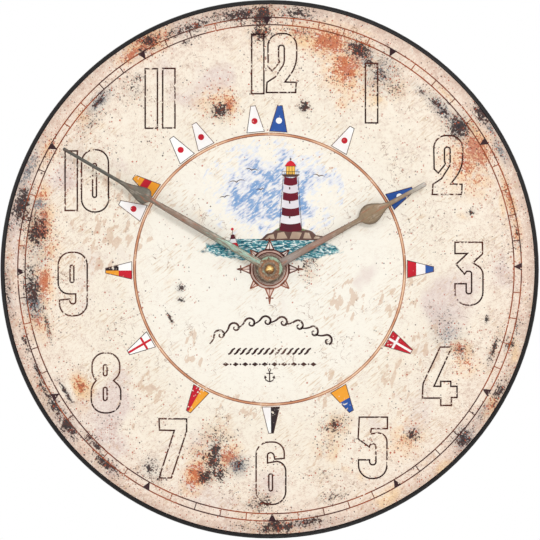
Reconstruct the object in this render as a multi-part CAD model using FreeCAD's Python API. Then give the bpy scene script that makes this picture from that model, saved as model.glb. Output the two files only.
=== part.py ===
import FreeCAD, Part
import math
import os

from FreeCAD import Vector

# Wall clock with a round painted board, spade hands and a battery movement behind it.
# All sizes are in millimetres. The front looks along -Y, +Z is up, the wall is the plane y = 0.
# Every piece is drawn about the hands' axis and lowered by hang_drop as it is written,
# so that the origin is where the wall hook bears in the hanger's eye.

# Allowances that many pieces share
overrun = 1.0
running_clearance = 0.06
seat_clearance = 0.25
end_shake = 0.2

# Dial board and the printed paper on it
board_radius = 180.0
board_thickness = 6.0
board_front_round = 2.5
board_back_round = 0.8
board_hole_clearance = 0.2
paper_thickness = 0.3

# Movement case, whose width follows from the cell and whose height and depth from the works
case_wall = 1.2
case_front_wall = 1.0
case_corner_radius = 2.5
works_drop = 11.0
works_back_room = 1.1
spring_room = 2.4
circuit_side_gap = 1.2
circuit_top_gap = 1.3
coil_side_gap = 5.3
cover_thickness = 1.2
bay_wall = 1.0
strip_slot = 1.0
finger_notch_width = 14.0
finger_notch_depth = 5.0

# Battery, a common AA cell
cell_radius = 7.15
sleeve_thickness = 0.25
cell_can_length = 49.4
cell_nub_radius = 2.6
cell_nub_length = 1.1
cell_end_gap = 0.1
cell_lift = 20.0
sleeve_margin = 0.8

# Contact strips
strip_thickness = 0.3
strip_width = 6.0
strip_foot = 2.7
strip_foot_height = 4.0
contact_below_axis = 5.0
bow_half_height = 4.5

# Hanger on the rear cover
hanger_thickness = 2.4
hanger_rim = 2.6
eye_width = 9.0
eye_straight = 1.0
hanger_sill = 1.5

# Snap loops that hold the rear cover to the case
loop_width = 7.0
loop_thickness = 0.9
loop_depth = 7.4
loop_window_width = 4.6
loop_window_depth = 2.0
loop_window_rim = 1.1
loop_side_height = 8.0
loop_top_offset = 17.0
lug_projection = 0.7

# Centre fixing, from the case forwards
gasket_radius = 11.0
gasket_thickness = 1.0
washer_radius = 8.0
washer_thickness = 0.6
nut_across_flats = 12.0
nut_height = 2.0
nut_chamfer = 0.5
bush_radius = 4.0
bush_proud = 0.7
bush_chamfer = 0.4
flange_radius = 5.5
flange_thickness = 0.6

# Arbors
minute_arbor_radius = 1.75
hour_pipe_wall = 0.75
hour_pipe_proud = 0.4
thread_radius = 1.4
thread_length = 2.2
wheel_arbor_radius = 0.45
pivot_radius = 0.34
pivot_length = 0.9
arbor_bore_depth = 1.5

# Wheel train: teeth, layers and the distances between arbors
hour_teeth = 32
minute_wheel_teeth = 30
minute_pinion_teeth = 8
cannon_teeth = 10
knob_teeth = 10
centre_teeth = 48
third_teeth = 45
third_pinion_teeth = 6
seconds_teeth = 48
seconds_pinion_teeth = 6
intermediate_teeth = 40
intermediate_pinion_teeth = 8
rotor_teeth = 8
motion_distance = 8.4
third_distance = 10.4
intermediate_distance = 10.3
rotor_distance = 6.0
wheel_thickness = 0.9
layer_gap = 0.7
wheel_layers = 6
layer_gaps = 4
motion_gap = 0.4
pinion_margin = 0.15
hub_wall = 1.1
plate_gap = 0.5
plate_thickness = 1.0
third_direction = 315.0
minute_wheel_direction = 110.0
knob_direction = 95.0
intermediate_direction = 45.0
rotor_direction = 80.0

# Tooth form as shares of the module, and of a tooth's half pitch
wheel_addendum_share = 0.9
wheel_dedendum_share = 1.0
pinion_addendum_share = 0.7
pinion_dedendum_share = 1.15
wheel_flank_share = 0.46
pinion_flank_share = 0.41
tooth_tip_share = 0.14

# Gear plate and its posts
plate_half_width = 19.5
plate_top_gap = 0.7
plate_corner_radius = 2.0
post_radius = 1.4
post_inset = 2.0
post_pin_radius = 0.8
rear_boss_radius = 1.1
rear_boss_height = 1.8
minute_post_radius = 0.8
minute_post_shoulder = 0.5
minute_post_rim = 0.5

# Friction clutch of the centre wheel
clutch_thickness = 0.2
clutch_ring_wall = 1.2
clutch_reach = 4.6
clutch_arm_width = 1.6
clutch_arms = 3

# Setting knob
knob_radius = 4.5
knob_thickness = 2.0
knob_recess_gap = 0.5
knob_sunk = 0.3
knob_flutes = 14
knob_flute_radius = 0.45
knob_stem_radius = 1.1
cup_wall = 0.8

# Stepping motor
magnet_radius = 2.2
magnet_length = 2.2
air_gap = 0.4
stator_thickness = 0.8
stator_rim = 2.0
stator_arm_width = 3.6
stator_pad_radius = 2.2
stator_wheel_gap = 0.43
coil_left = 0.0
core_width = 3.6
bobbin_wall = 0.5
bobbin_flange_radius = 3.4
bobbin_flange_thickness = 0.8
winding_radius = 3.1
screw_head_radius = 1.5
screw_head_height = 0.9
screw_shank_radius = 0.7
screw_grip = 4.0
screw_slot_width = 0.4
screw_slot_depth = 0.4
stator_post_radius = 1.6

# Circuit board and what it carries
circuit_height = 7.0
circuit_thickness = 1.0
circuit_rest_height = 1.4
circuit_rest_radius = 1.2
circuit_rest_inset = 4.6
circuit_middle_rests = (-7.0, 13.0)
crystal_radius = 1.0
crystal_length = 6.0
crystal_gap = 3.2
chip_radius = 2.8
chip_height = 1.2
chip_inset = 7.6

# Hands: blade, spade and needle, with sizes square to the hand as full widths
hand_thickness = 1.0
hand_bevel = 0.3
collet_gap = 0.3
hour_collet_wall = 1.8
hour_collet_height = 1.2
minute_collet_wall = 1.6
minute_collet_height = 0.9
hour_hand_angle = 61.3
hour_hand_length = 119.0
hour_boss_radius = 10.5
hour_root_width = 5.5
hour_neck_width = 3.4
hour_neck_place = 68.4
hour_spade_width = 13.7
hour_spade_length = 22.3
hour_needle_width = 2.7
minute_hand_angle = 300.3
minute_hand_length = 159.5
minute_boss_radius = 8.5
minute_root_width = 5.0
minute_neck_width = 3.1
minute_neck_place = 90.0
minute_spade_width = 11.2
minute_spade_length = 24.0
minute_needle_width = 2.3

# Half outline of a spade: how far along it, and how much of the widening from neck to shoulder
spade_shape_share = ((0.0, 0.0), (0.10, 0.42), (0.24, 0.86), (0.38, 1.0), (0.56, 0.76), (0.76, 0.34), (1.0, 0.0))

# Domed nut that holds the hands
cap_radius = 3.35
cap_height = 3.4
cap_flange_height = 0.7
cap_flange_step = 0.35
cap_thread_cover = 0.5

# Planes worked out from the sizes above
strip_inner = (cell_end_gap + cell_nub_length + cell_can_length + spring_room) / 2
case_inner_side = strip_inner + strip_thickness
case_side = case_inner_side + case_wall
case_width = 2 * case_side
motion_stack = flange_thickness + end_shake + motion_gap + plate_gap + plate_thickness
works_stack = motion_stack + wheel_layers * wheel_thickness + layer_gaps * layer_gap
case_depth = round(
    case_front_wall + works_stack + works_back_room + rear_boss_height + cover_thickness, 1)
case_front = -case_depth
case_inner_front = case_front + case_front_wall
board_back = case_front - gasket_thickness
board_front = board_back - board_thickness
paper_front = board_front - paper_thickness
washer_front = paper_front - washer_thickness
nut_front = washer_front - nut_height
bush_front = nut_front - bush_proud
hour_hand_back = bush_front - collet_gap - hour_collet_height
hour_hand_front = hour_hand_back - hand_thickness
hour_pipe_front = hour_hand_front - hour_pipe_proud
minute_hand_back = hour_pipe_front - collet_gap - minute_collet_height
minute_hand_front = minute_hand_back - hand_thickness
thread_front = minute_hand_front - thread_length

flange_back = case_inner_front + flange_thickness
hour_wheel_front = flange_back + end_shake
hour_wheel_back = hour_wheel_front + wheel_thickness
minute_wheel_front = hour_wheel_back + motion_gap
minute_wheel_back = minute_wheel_front + wheel_thickness
plate_front = minute_wheel_back + plate_gap
plate_back = plate_front + plate_thickness
centre_wheel_front = plate_back + layer_gap
centre_wheel_back = centre_wheel_front + wheel_thickness
third_wheel_front = centre_wheel_back + layer_gap
third_wheel_back = third_wheel_front + wheel_thickness
seconds_wheel_front = third_wheel_back + layer_gap
seconds_wheel_back = seconds_wheel_front + wheel_thickness
intermediate_wheel_front = seconds_wheel_back + layer_gap
intermediate_wheel_back = intermediate_wheel_front + wheel_thickness
cover_inner = -cover_thickness
rear_boss_front = cover_inner - rear_boss_height
rear_shoulder = rear_boss_front - end_shake
arbor_end = centre_wheel_back + end_shake
circuit_front = case_inner_front + circuit_rest_height
circuit_back = circuit_front + circuit_thickness
magnet_front = third_wheel_front - layer_gap / 2
stator_front = magnet_front + (magnet_length - stator_thickness) / 2
stator_back = stator_front + stator_thickness
core_back = stator_back + stator_thickness

# Battery bay, worked out from the cell and the works above it
cell_axis_y = case_inner_front + seat_clearance + cell_radius
bay_wall_top = -works_drop
bay_ceiling = bay_wall_top - bay_wall
cell_axis_z = bay_ceiling - seat_clearance - cell_radius
case_inner_bottom = cell_axis_z - cell_radius - seat_clearance
case_bottom = case_inner_bottom - case_wall
cell_can_left = -strip_inner + cell_end_gap + cell_nub_length
cell_can_right = cell_can_left + cell_can_length
strip_middle_y = cell_axis_y

# Radii worked out from the sizes above
hour_pipe_bore = minute_arbor_radius + running_clearance
hour_pipe_radius = hour_pipe_bore + hour_pipe_wall
bush_bore = hour_pipe_radius + running_clearance
board_hole_radius = bush_radius + board_hole_clearance
paper_radius = board_radius - board_front_round
cup_radius = knob_radius + knob_recess_gap + cup_wall
cup_front = -knob_sunk - knob_thickness - seat_clearance - cup_wall
post_height = -bay_wall_top - post_inset


def place(distance, direction, start=(0.0, 0.0)):
    """Point (x, z) at a distance from start, in a direction clockwise from straight up."""
    angle = math.radians(direction)
    return (start[0] + distance * math.sin(angle), start[1] + distance * math.cos(angle))


centre_place = (0.0, 0.0)
third_place = place(third_distance, third_direction)
minute_wheel_place = place(motion_distance, minute_wheel_direction)
motion_module = 2 * motion_distance / (cannon_teeth + minute_wheel_teeth)
knob_distance = motion_module * (minute_wheel_teeth + knob_teeth) / 2
knob_place = place(knob_distance, knob_direction, minute_wheel_place)
intermediate_place = place(intermediate_distance, intermediate_direction)
rotor_place = place(rotor_distance, rotor_direction, intermediate_place)
minute_post_places = (minute_wheel_place,)

# Coil, circuit board and the case's top, over the third wheel; moulded sizes are kept to a tenth
third_module = 2 * third_distance / (third_teeth + seconds_pinion_teeth)
third_tip_radius = third_module * (third_teeth / 2 + wheel_addendum_share)
stator_arm_reach = third_tip_radius + stator_arm_width / 2 + stator_wheel_gap
stator_arm_rise = math.sqrt(stator_arm_reach ** 2 - (coil_left - third_place[0]) ** 2)
coil_above_arm = stator_arm_width / 2 + seat_clearance + bobbin_flange_radius
coil_height = round(third_place[1] + stator_arm_rise + coil_above_arm, 1)
coil_right = case_inner_side - coil_side_gap
circuit_half_width = case_inner_side - circuit_side_gap
circuit_top = coil_height + circuit_height / 2
circuit_bottom = coil_height - circuit_height / 2
circuit_rest_places = (circuit_rest_inset - circuit_half_width,) + circuit_middle_rests
chip_place = chip_inset - circuit_half_width
crystal_left = chip_place + chip_radius + crystal_gap
case_inner_top = circuit_top + circuit_top_gap
case_top = case_inner_top + case_wall
hang_drop = case_top + hanger_sill + eye_straight + eye_width / 2
plate_top = circuit_bottom - plate_top_gap
post_places = (
    (-plate_half_width + post_inset, -post_height),
    (plate_half_width - post_inset, -post_height),
    (-plate_half_width + post_inset, plate_top - post_inset),
    (plate_half_width - post_inset, plate_top - post_inset),
)
stator_pads = ((coil_left, coil_height), (coil_right, coil_height))


def rod(radius, y0, y1, at=(0.0, 0.0)):
    """Round bar along Y from y0 to y1."""
    return Part.makeCylinder(radius, y1 - y0, Vector(at[0], y0, at[1]), Vector(0, 1, 0))


def tube(radius, bore, y0, y1, at=(0.0, 0.0)):
    """Round bar with a bore right through."""
    return rod(radius, y0, y1, at).cut(rod(bore, y0 - overrun, y1 + overrun, at))


def block(x0, x1, y0, y1, z0, z1):
    """Rectangular block between two corners."""
    return Part.makeBox(x1 - x0, y1 - y0, z1 - z0, Vector(x0, y0, z0))


def outline_plate(points, y0, y1):
    """Plate along Y with a closed outline of (x, z) points."""
    corners = [Vector(x, y0, z) for x, z in points]
    face = Part.Face(Part.makePolygon(corners + corners[:1]))
    return face.extrude(Vector(0, y1 - y0, 0))


def rounded_slab(x0, x1, y0, y1, z0, z1, radius):
    """Block whose four edges along Y are rounded."""
    slab = block(x0, x1, y0, y1, z0, z1)
    edges = [edge for edge in slab.Edges if abs(edge.tangentAt(edge.FirstParameter).y) > 0.5]
    return slab.makeFillet(radius, edges)


def turned(profile, at=(0.0, 0.0)):
    """Solid of revolution about Y from closed (radius, y) points; a radius of zero lies on the axis."""
    corners = [Vector(at[0] + radius, y, at[1]) for radius, y in profile]
    face = Part.Face(Part.makePolygon(corners + corners[:1]))
    return face.revolve(Vector(at[0], 0, at[1]), Vector(0, 1, 0), 360)


def joined(shapes):
    """One solid from overlapping or touching shapes."""
    return shapes[0].multiFuse(shapes[1:]).removeSplitter()


def save(node, shape):
    """Lower a shape from the hands' axis to the hook frame and write it."""
    lowered = shape.copy()
    lowered.translate(Vector(0, 0, -hang_drop))
    lowered.exportStep("parts/" + node + ".step")


def gear(teeth, distance_module, phase, y0, y1, at, is_pinion=False):
    """Toothed disc; phase is the clockwise angle in radians of the middle of one tooth."""
    addendum = pinion_addendum_share if is_pinion else wheel_addendum_share
    dedendum = pinion_dedendum_share if is_pinion else wheel_dedendum_share
    flank = pinion_flank_share if is_pinion else wheel_flank_share
    pitch_radius = distance_module * teeth / 2
    root_radius = pitch_radius - dedendum * distance_module
    tip_radius = pitch_radius + addendum * distance_module
    half_pitch = math.pi / teeth
    tooth = (
        (root_radius, -flank),
        (pitch_radius, -flank),
        (tip_radius, -tooth_tip_share),
        (tip_radius, tooth_tip_share),
        (pitch_radius, flank),
        (root_radius, flank),
    )
    points = []
    for index in range(teeth):
        middle = phase + 2 * half_pitch * index
        for radius, share in tooth:
            angle = middle + share * half_pitch
            points.append((at[0] + radius * math.sin(angle), at[1] + radius * math.cos(angle)))
    return outline_plate(points, y0, y1)


def meshing_phase(driver_place, driver_phase, driver_teeth, follower_place, follower_teeth):
    """Phase that puts a gap of the follower opposite a tooth of the driver."""
    across = follower_place[0] - driver_place[0]
    up = follower_place[1] - driver_place[1]
    direction = math.atan2(across, up)
    passed = (direction - driver_phase) * driver_teeth / (2 * math.pi)
    return direction + math.pi - (2 * math.pi / follower_teeth) * (0.5 - passed)


# Modules that follow from the distances between arbors
third_module = 2 * third_distance / (centre_teeth + third_pinion_teeth)
seconds_module = 2 * third_distance / (third_teeth + seconds_pinion_teeth)
intermediate_module = 2 * intermediate_distance / (seconds_teeth + intermediate_pinion_teeth)
rotor_module = 2 * rotor_distance / (intermediate_teeth + rotor_teeth)

# Phases down the train; the first wheel on each arbor is free to start at zero
minute_wheel_phase = meshing_phase(centre_place, 0, cannon_teeth, minute_wheel_place, minute_wheel_teeth)
hour_phase = meshing_phase(minute_wheel_place, 0, minute_pinion_teeth, centre_place, hour_teeth)
knob_phase = meshing_phase(minute_wheel_place, minute_wheel_phase, minute_wheel_teeth, knob_place, knob_teeth)
third_phase = meshing_phase(centre_place, 0, centre_teeth, third_place, third_pinion_teeth)
seconds_phase = meshing_phase(third_place, 0, third_teeth, centre_place, seconds_pinion_teeth)
intermediate_phase = meshing_phase(
    centre_place, 0, seconds_teeth, intermediate_place, intermediate_pinion_teeth)
rotor_phase = meshing_phase(intermediate_place, 0, intermediate_teeth, rotor_place, rotor_teeth)


def dial_board():
    """Round board with a large front rounding, a small back rounding and a hole for the bush."""
    front_middle = math.sqrt(0.5) * board_front_round
    back_middle = math.sqrt(0.5) * board_back_round
    front_centre = (board_radius - board_front_round, board_front + board_front_round)
    back_centre = (board_radius - board_back_round, board_back - board_back_round)

    def at(radius, y):
        return Vector(radius, y, 0)

    front_arc = Part.Arc(
        at(front_centre[0], board_front),
        at(front_centre[0] + front_middle, front_centre[1] - front_middle),
        at(board_radius, front_centre[1]))
    back_arc = Part.Arc(
        at(board_radius, back_centre[1]),
        at(back_centre[0] + back_middle, back_centre[1] + back_middle),
        at(back_centre[0], board_back))
    edges = [
        Part.makeLine(at(board_hole_radius, board_front), at(front_centre[0], board_front)),
        front_arc.toShape(),
        Part.makeLine(at(board_radius, front_centre[1]), at(board_radius, back_centre[1])),
        back_arc.toShape(),
        Part.makeLine(at(back_centre[0], board_back), at(board_hole_radius, board_back)),
        Part.makeLine(at(board_hole_radius, board_back), at(board_hole_radius, board_front)),
    ]
    return Part.Face(Part.Wire(edges)).revolve(Vector(0, 0, 0), Vector(0, 1, 0), 360)


def dial_paper():
    """Printed paper over the flat of the board."""
    return tube(paper_radius, board_hole_radius, paper_front, board_front)


def gasket():
    """Rubber washer between the case and the board."""
    return tube(gasket_radius, board_hole_radius, board_back, case_front)


def dial_washer():
    """Brass washer under the nut."""
    return tube(washer_radius, board_hole_radius, washer_front, paper_front)


def bush_nut():
    """Hexagon nut with both faces chamfered."""
    corner = nut_across_flats / math.sqrt(3)
    points = [place(corner, 60 * index) for index in range(6)]
    blank = outline_plate(points, nut_front, washer_front)
    flat = nut_across_flats / 2
    chamfered = turned((
        (0.0, nut_front),
        (flat, nut_front),
        (flat + nut_chamfer * 2, nut_front + nut_chamfer),
        (flat + nut_chamfer * 2, washer_front - nut_chamfer),
        (flat, washer_front),
        (0.0, washer_front),
    ))
    bore = rod(bush_radius + running_clearance, nut_front - overrun, washer_front + overrun)
    return blank.common(chamfered).cut(bore)


def threaded_bush():
    """Bush that carries the hour pipe and clamps the board, with its flange inside the case."""
    outer = turned((
        (0.0, bush_front),
        (bush_radius - bush_chamfer, bush_front),
        (bush_radius, bush_front + bush_chamfer),
        (bush_radius, case_inner_front),
        (flange_radius, case_inner_front),
        (flange_radius, flange_back),
        (0.0, flange_back),
    ))
    return outer.cut(rod(bush_bore, bush_front - overrun, flange_back + overrun))


def case_outline(y0, y1):
    """Rounded square block of the movement's size."""
    return rounded_slab(-case_side, case_side, y0, y1, case_bottom, case_top, case_corner_radius)


def case_posts():
    """Posts that stand on the case's front wall."""
    posts = []
    for at in post_places:
        posts.append(rod(post_radius, case_inner_front, plate_front, at))
        posts.append(rod(post_pin_radius, case_inner_front, plate_back + end_shake, at))
    for at in stator_pads:
        post = rod(stator_post_radius, case_inner_front, stator_front, at)
        screw_hole = rod(screw_shank_radius, stator_front - screw_grip, stator_front + overrun, at)
        posts.append(post.cut(screw_hole))
    for x in circuit_rest_places:
        posts.append(rod(circuit_rest_radius, case_inner_front, circuit_front, (x, coil_height)))
    for at in minute_post_places:
        shoulder_back = hour_wheel_front - pinion_margin - minute_post_shoulder / 2
        posts.append(rod(minute_post_radius + minute_post_rim, case_inner_front, shoulder_back, at))
        posts.append(rod(minute_post_radius, case_inner_front, plate_front, at))
    return posts


def lug(centre, along, outward):
    """Wedge on the case wall for a snap loop; along and outward are unit (x, z) directions."""
    half = loop_window_width / 2 - seat_clearance
    window_front = cover_inner - (loop_depth - cover_thickness) + loop_window_rim
    low = window_front + seat_clearance
    high = window_front + loop_window_depth - seat_clearance
    base = [
        Vector(centre[0] - along[0] * half, low, centre[1] - along[1] * half),
        Vector(centre[0] - along[0] * half, high, centre[1] - along[1] * half),
        Vector(centre[0] - along[0] * half + outward[0] * lug_projection, high,
               centre[1] - along[1] * half + outward[1] * lug_projection),
    ]
    face = Part.Face(Part.makePolygon(base + base[:1]))
    return face.extrude(Vector(along[0] * half * 2, 0, along[1] * half * 2))


def loop_sites():
    """Where the snap loops are: centre on the case wall, direction along it and outward."""
    return (
        ((case_side, loop_side_height), (0.0, 1.0), (1.0, 0.0)),
        ((-case_side, loop_side_height), (0.0, 1.0), (-1.0, 0.0)),
        ((loop_top_offset, case_top), (1.0, 0.0), (0.0, 1.0)),
        ((-loop_top_offset, case_top), (1.0, 0.0), (0.0, 1.0)),
    )


def front_case():
    """Moulded tub: front wall, sides, the battery bay's wall, posts and lugs."""
    shell = case_outline(case_front, 0)
    inner = rounded_slab(
        -case_inner_side, case_inner_side, case_inner_front, overrun,
        case_inner_bottom, case_inner_top, case_corner_radius - case_wall)
    seat = block(
        -case_width, case_width, cover_inner, overrun, bay_ceiling, case_width)
    shell = shell.cut(inner).cut(seat)
    wall_half = case_inner_side - strip_slot
    divider = block(-wall_half, wall_half, case_inner_front, cover_inner, bay_ceiling, bay_wall_top)
    body = joined([shell, divider] + case_posts())
    notch = block(
        -finger_notch_width / 2, finger_notch_width / 2, -finger_notch_depth, overrun,
        case_bottom - overrun, case_inner_bottom + overrun)
    bush_hole = rod(bush_radius, case_front - overrun, case_inner_front + overrun)
    body = body.cut(notch).cut(bush_hole)
    lugs = [lug(centre, along, outward) for centre, along, outward in loop_sites()]
    return joined([body] + lugs)


def snap_loop(centre, along, outward):
    """Flexible loop on the rear cover, with a window for the case's lug."""
    gap = seat_clearance / 5
    inner = (centre[0] + outward[0] * gap, centre[1] + outward[1] * gap)
    outer_step = loop_thickness

    def slab(half_along, y0, y1, start, reach):
        low = (inner[0] - along[0] * half_along + outward[0] * start,
               inner[1] - along[1] * half_along + outward[1] * start)
        high = (inner[0] + along[0] * half_along + outward[0] * reach,
                inner[1] + along[1] * half_along + outward[1] * reach)
        return block(min(low[0], high[0]), max(low[0], high[0]), y0, y1,
                     min(low[1], high[1]), max(low[1], high[1]))

    plate = slab(loop_width / 2, -loop_depth, 0, 0, outer_step)
    bridge = slab(loop_width / 2, cover_inner, 0, -case_wall / 2, outer_step)
    window_front = cover_inner - (loop_depth - cover_thickness) + loop_window_rim
    window = slab(
        loop_window_width / 2, window_front, window_front + loop_window_depth,
        -overrun, outer_step + overrun)
    return joined([plate, bridge]).cut(window)


def hanger():
    """Arched tab above the case with an arched eye for the wall hook."""
    eye_radius = eye_width / 2
    outer_radius = eye_radius + hanger_rim
    eye_bottom = case_top + hanger_sill
    arch_centre = eye_bottom + eye_straight
    foot = case_top + seat_clearance / 5
    tab = joined([
        rod(outer_radius, -hanger_thickness, 0, (0, arch_centre)),
        block(-outer_radius, outer_radius, -hanger_thickness, 0, foot, arch_centre),
    ]).cut(block(-case_width, case_width, -case_width, case_width, -case_width, foot))
    neck = block(-outer_radius, outer_radius, cover_inner, 0, case_inner_top, foot + eye_straight)
    eye = joined([
        rod(eye_radius, -case_depth, overrun, (0, arch_centre)),
        block(-eye_radius, eye_radius, -case_depth, overrun, eye_bottom, arch_centre),
    ])
    return joined([tab, neck]).cut(eye)


def rear_cover():
    """Cover over the works: plate, knob cup, pivot bosses, snap loops and hanger."""
    plate = case_outline(cover_inner, 0)
    plate = plate.cut(block(-case_width, case_width, -case_width, case_width, -case_width, bay_ceiling))
    knob_opening = rod(knob_radius + knob_recess_gap, -case_depth, overrun, knob_place)
    cup = rod(cup_radius, cup_front, cover_inner, knob_place)
    cup = cup.cut(rod(knob_radius + knob_recess_gap, cup_front + cup_wall, overrun, knob_place))
    bosses = [
        rod(rear_boss_radius, rear_boss_front, cover_inner, at)
        for at in (centre_place, third_place, intermediate_place, rotor_place)
    ]
    loops = [snap_loop(centre, along, outward) for centre, along, outward in loop_sites()]
    body = joined([plate.cut(knob_opening), cup, hanger()] + bosses + loops)
    stem_hole = rod(knob_stem_radius + running_clearance, -case_depth, overrun, knob_place)
    body = body.cut(stem_hole)
    for at in (centre_place, third_place, intermediate_place, rotor_place):
        hole = rod(pivot_radius + running_clearance, rear_boss_front - overrun,
                   rear_boss_front + pivot_length + seat_clearance, at)
        body = body.cut(hole)
    return body


def gear_plate():
    """Plate between the motion work and the going train, with its pivot holes."""
    plate = rounded_slab(
        -plate_half_width, plate_half_width, plate_front, plate_back,
        bay_wall_top + seat_clearance, plate_top, plate_corner_radius)
    holes = [rod(minute_arbor_radius + running_clearance, plate_front - overrun, plate_back + overrun)]
    for at in (third_place, intermediate_place, rotor_place):
        holes.append(rod(pivot_radius + running_clearance, plate_front - overrun, plate_back + overrun, at))
    for at in post_places:
        holes.append(rod(post_pin_radius, plate_front - overrun, plate_back + overrun, at))
    holes.append(rod(
        knob_stem_radius + running_clearance, plate_front - overrun, plate_back + overrun, knob_place))
    for hole in holes:
        plate = plate.cut(hole)
    return plate


def train_arbor(at, front_shoulder, front_pivot_length):
    """Thin arbor from its front shoulder to the rear boss, with a pivot at each end."""
    return [
        rod(wheel_arbor_radius, front_shoulder, rear_shoulder, at),
        rod(pivot_radius, front_shoulder - front_pivot_length, rear_shoulder + pivot_length, at),
    ]


def minute_arbor():
    """Minute arbor with the cannon pinion, the thread for the cap nut and a bore for the seconds pivot."""
    arbor = rod(minute_arbor_radius, minute_hand_front, arbor_end)
    thread = rod(thread_radius, thread_front, minute_hand_front)
    pinion = gear(
        cannon_teeth, motion_module, 0, minute_wheel_front - pinion_margin,
        minute_wheel_back + pinion_margin, centre_place, True)
    bore = rod(pivot_radius + running_clearance, arbor_end - arbor_bore_depth, arbor_end + overrun)
    return joined([arbor, thread, pinion]).cut(bore)


def centre_wheel():
    """Wheel that slips on the minute arbor when the hands are set."""
    wheel = gear(centre_teeth, third_module, 0, centre_wheel_front, centre_wheel_back, centre_place)
    return wheel.cut(rod(minute_arbor_radius, centre_wheel_front - overrun, centre_wheel_back + overrun))


def clutch_spring():
    """Leaf spring with three arms that presses on the centre wheel."""
    front = centre_wheel_front - clutch_thickness
    ring = rod(minute_arbor_radius + clutch_ring_wall, front, centre_wheel_front)
    arms = []
    for index in range(clutch_arms):
        arm = block(-clutch_arm_width / 2, clutch_arm_width / 2, front, centre_wheel_front, 0, clutch_reach)
        arm.rotate(Vector(0, 0, 0), Vector(0, 1, 0), 360 * index / clutch_arms)
        arms.append(arm)
    bore = rod(minute_arbor_radius, front - overrun, centre_wheel_front + overrun)
    return joined([ring] + arms).cut(bore)


def third_wheel():
    """Third wheel with its pinion and arbor."""
    wheel = gear(third_teeth, seconds_module, 0, third_wheel_front, third_wheel_back, third_place)
    pinion = gear(
        third_pinion_teeth, third_module, third_phase, centre_wheel_front - pinion_margin,
        third_wheel_front, third_place, True)
    front_shoulder = plate_back + end_shake
    return joined([wheel, pinion] + train_arbor(third_place, front_shoulder, pivot_length))


def seconds_wheel():
    """Seconds wheel with its pinion; its front pivot runs in the minute arbor."""
    wheel = gear(seconds_teeth, intermediate_module, 0, seconds_wheel_front, seconds_wheel_back, centre_place)
    front_shoulder = arbor_end + end_shake
    pinion = gear(
        seconds_pinion_teeth, seconds_module, seconds_phase, third_wheel_front - pinion_margin,
        seconds_wheel_front, centre_place, True)
    return joined([wheel, pinion] + train_arbor(centre_place, front_shoulder, pivot_length))


def intermediate_wheel():
    """Intermediate wheel with its pinion and arbor."""
    wheel = gear(
        intermediate_teeth, rotor_module, 0, intermediate_wheel_front, intermediate_wheel_back,
        intermediate_place)
    pinion = gear(
        intermediate_pinion_teeth, intermediate_module, intermediate_phase,
        seconds_wheel_front - pinion_margin, intermediate_wheel_front, intermediate_place, True)
    front_shoulder = plate_back + end_shake
    return joined([wheel, pinion] + train_arbor(intermediate_place, front_shoulder, pivot_length))


def rotor_arbor():
    """Rotor's arbor and pinion."""
    pinion = gear(
        rotor_teeth, rotor_module, rotor_phase, intermediate_wheel_front - pinion_margin,
        intermediate_wheel_back + pinion_margin, rotor_place, True)
    return joined([pinion] + train_arbor(rotor_place, plate_back + end_shake, pivot_length))


def rotor_magnet():
    """Two-pole magnet on the rotor's arbor."""
    return tube(magnet_radius, wheel_arbor_radius, magnet_front, magnet_front + magnet_length, rotor_place)


def minute_wheel():
    """Motion work wheel and pinion that turn the hour wheel."""
    wheel = gear(
        minute_wheel_teeth, motion_module, minute_wheel_phase, minute_wheel_front, minute_wheel_back,
        minute_wheel_place)
    pinion = gear(
        minute_pinion_teeth, motion_module, 0, hour_wheel_front - pinion_margin,
        minute_wheel_front, minute_wheel_place, True)
    bore = rod(
        minute_post_radius + running_clearance, case_inner_front, plate_front + overrun,
        minute_wheel_place)
    return joined([wheel, pinion]).cut(bore)


def hour_wheel():
    """Hour wheel with the pipe that carries the hour hand."""
    wheel = gear(hour_teeth, motion_module, hour_phase, hour_wheel_front, hour_wheel_back, centre_place)
    pipe = rod(hour_pipe_radius, hour_pipe_front, hour_wheel_back)
    bore = rod(hour_pipe_bore, hour_pipe_front - overrun, hour_wheel_back + overrun)
    return joined([wheel, pipe]).cut(bore)


def setting_knob():
    """Fluted knob, its stem and the pinion that turns the motion work."""
    back = -knob_sunk
    front = back - knob_thickness
    knob = rod(knob_radius, front, back, knob_place)
    for index in range(knob_flutes):
        flute_place = place(knob_radius, 360 * index / knob_flutes, knob_place)
        knob = knob.cut(rod(knob_flute_radius, front - overrun, back + overrun, flute_place))
    pinion_front = minute_wheel_front - pinion_margin
    stem = rod(knob_stem_radius, pinion_front, front + overrun, knob_place)
    pinion = gear(
        knob_teeth, motion_module, knob_phase, pinion_front, minute_wheel_back + pinion_margin,
        knob_place, True)
    return joined([knob, stem, pinion])


def stator_arm(start, end, width, y0, y1):
    """Straight bar in a plate, from one (x, z) place to another."""
    across = end[0] - start[0]
    up = end[1] - start[1]
    length = math.hypot(across, up)
    side = (up / length * width / 2, -across / length * width / 2)
    points = (
        (start[0] + side[0], start[1] + side[1]),
        (end[0] + side[0], end[1] + side[1]),
        (end[0] - side[0], end[1] - side[1]),
        (start[0] - side[0], start[1] - side[1]),
    )
    return outline_plate(points, y0, y1)


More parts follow.
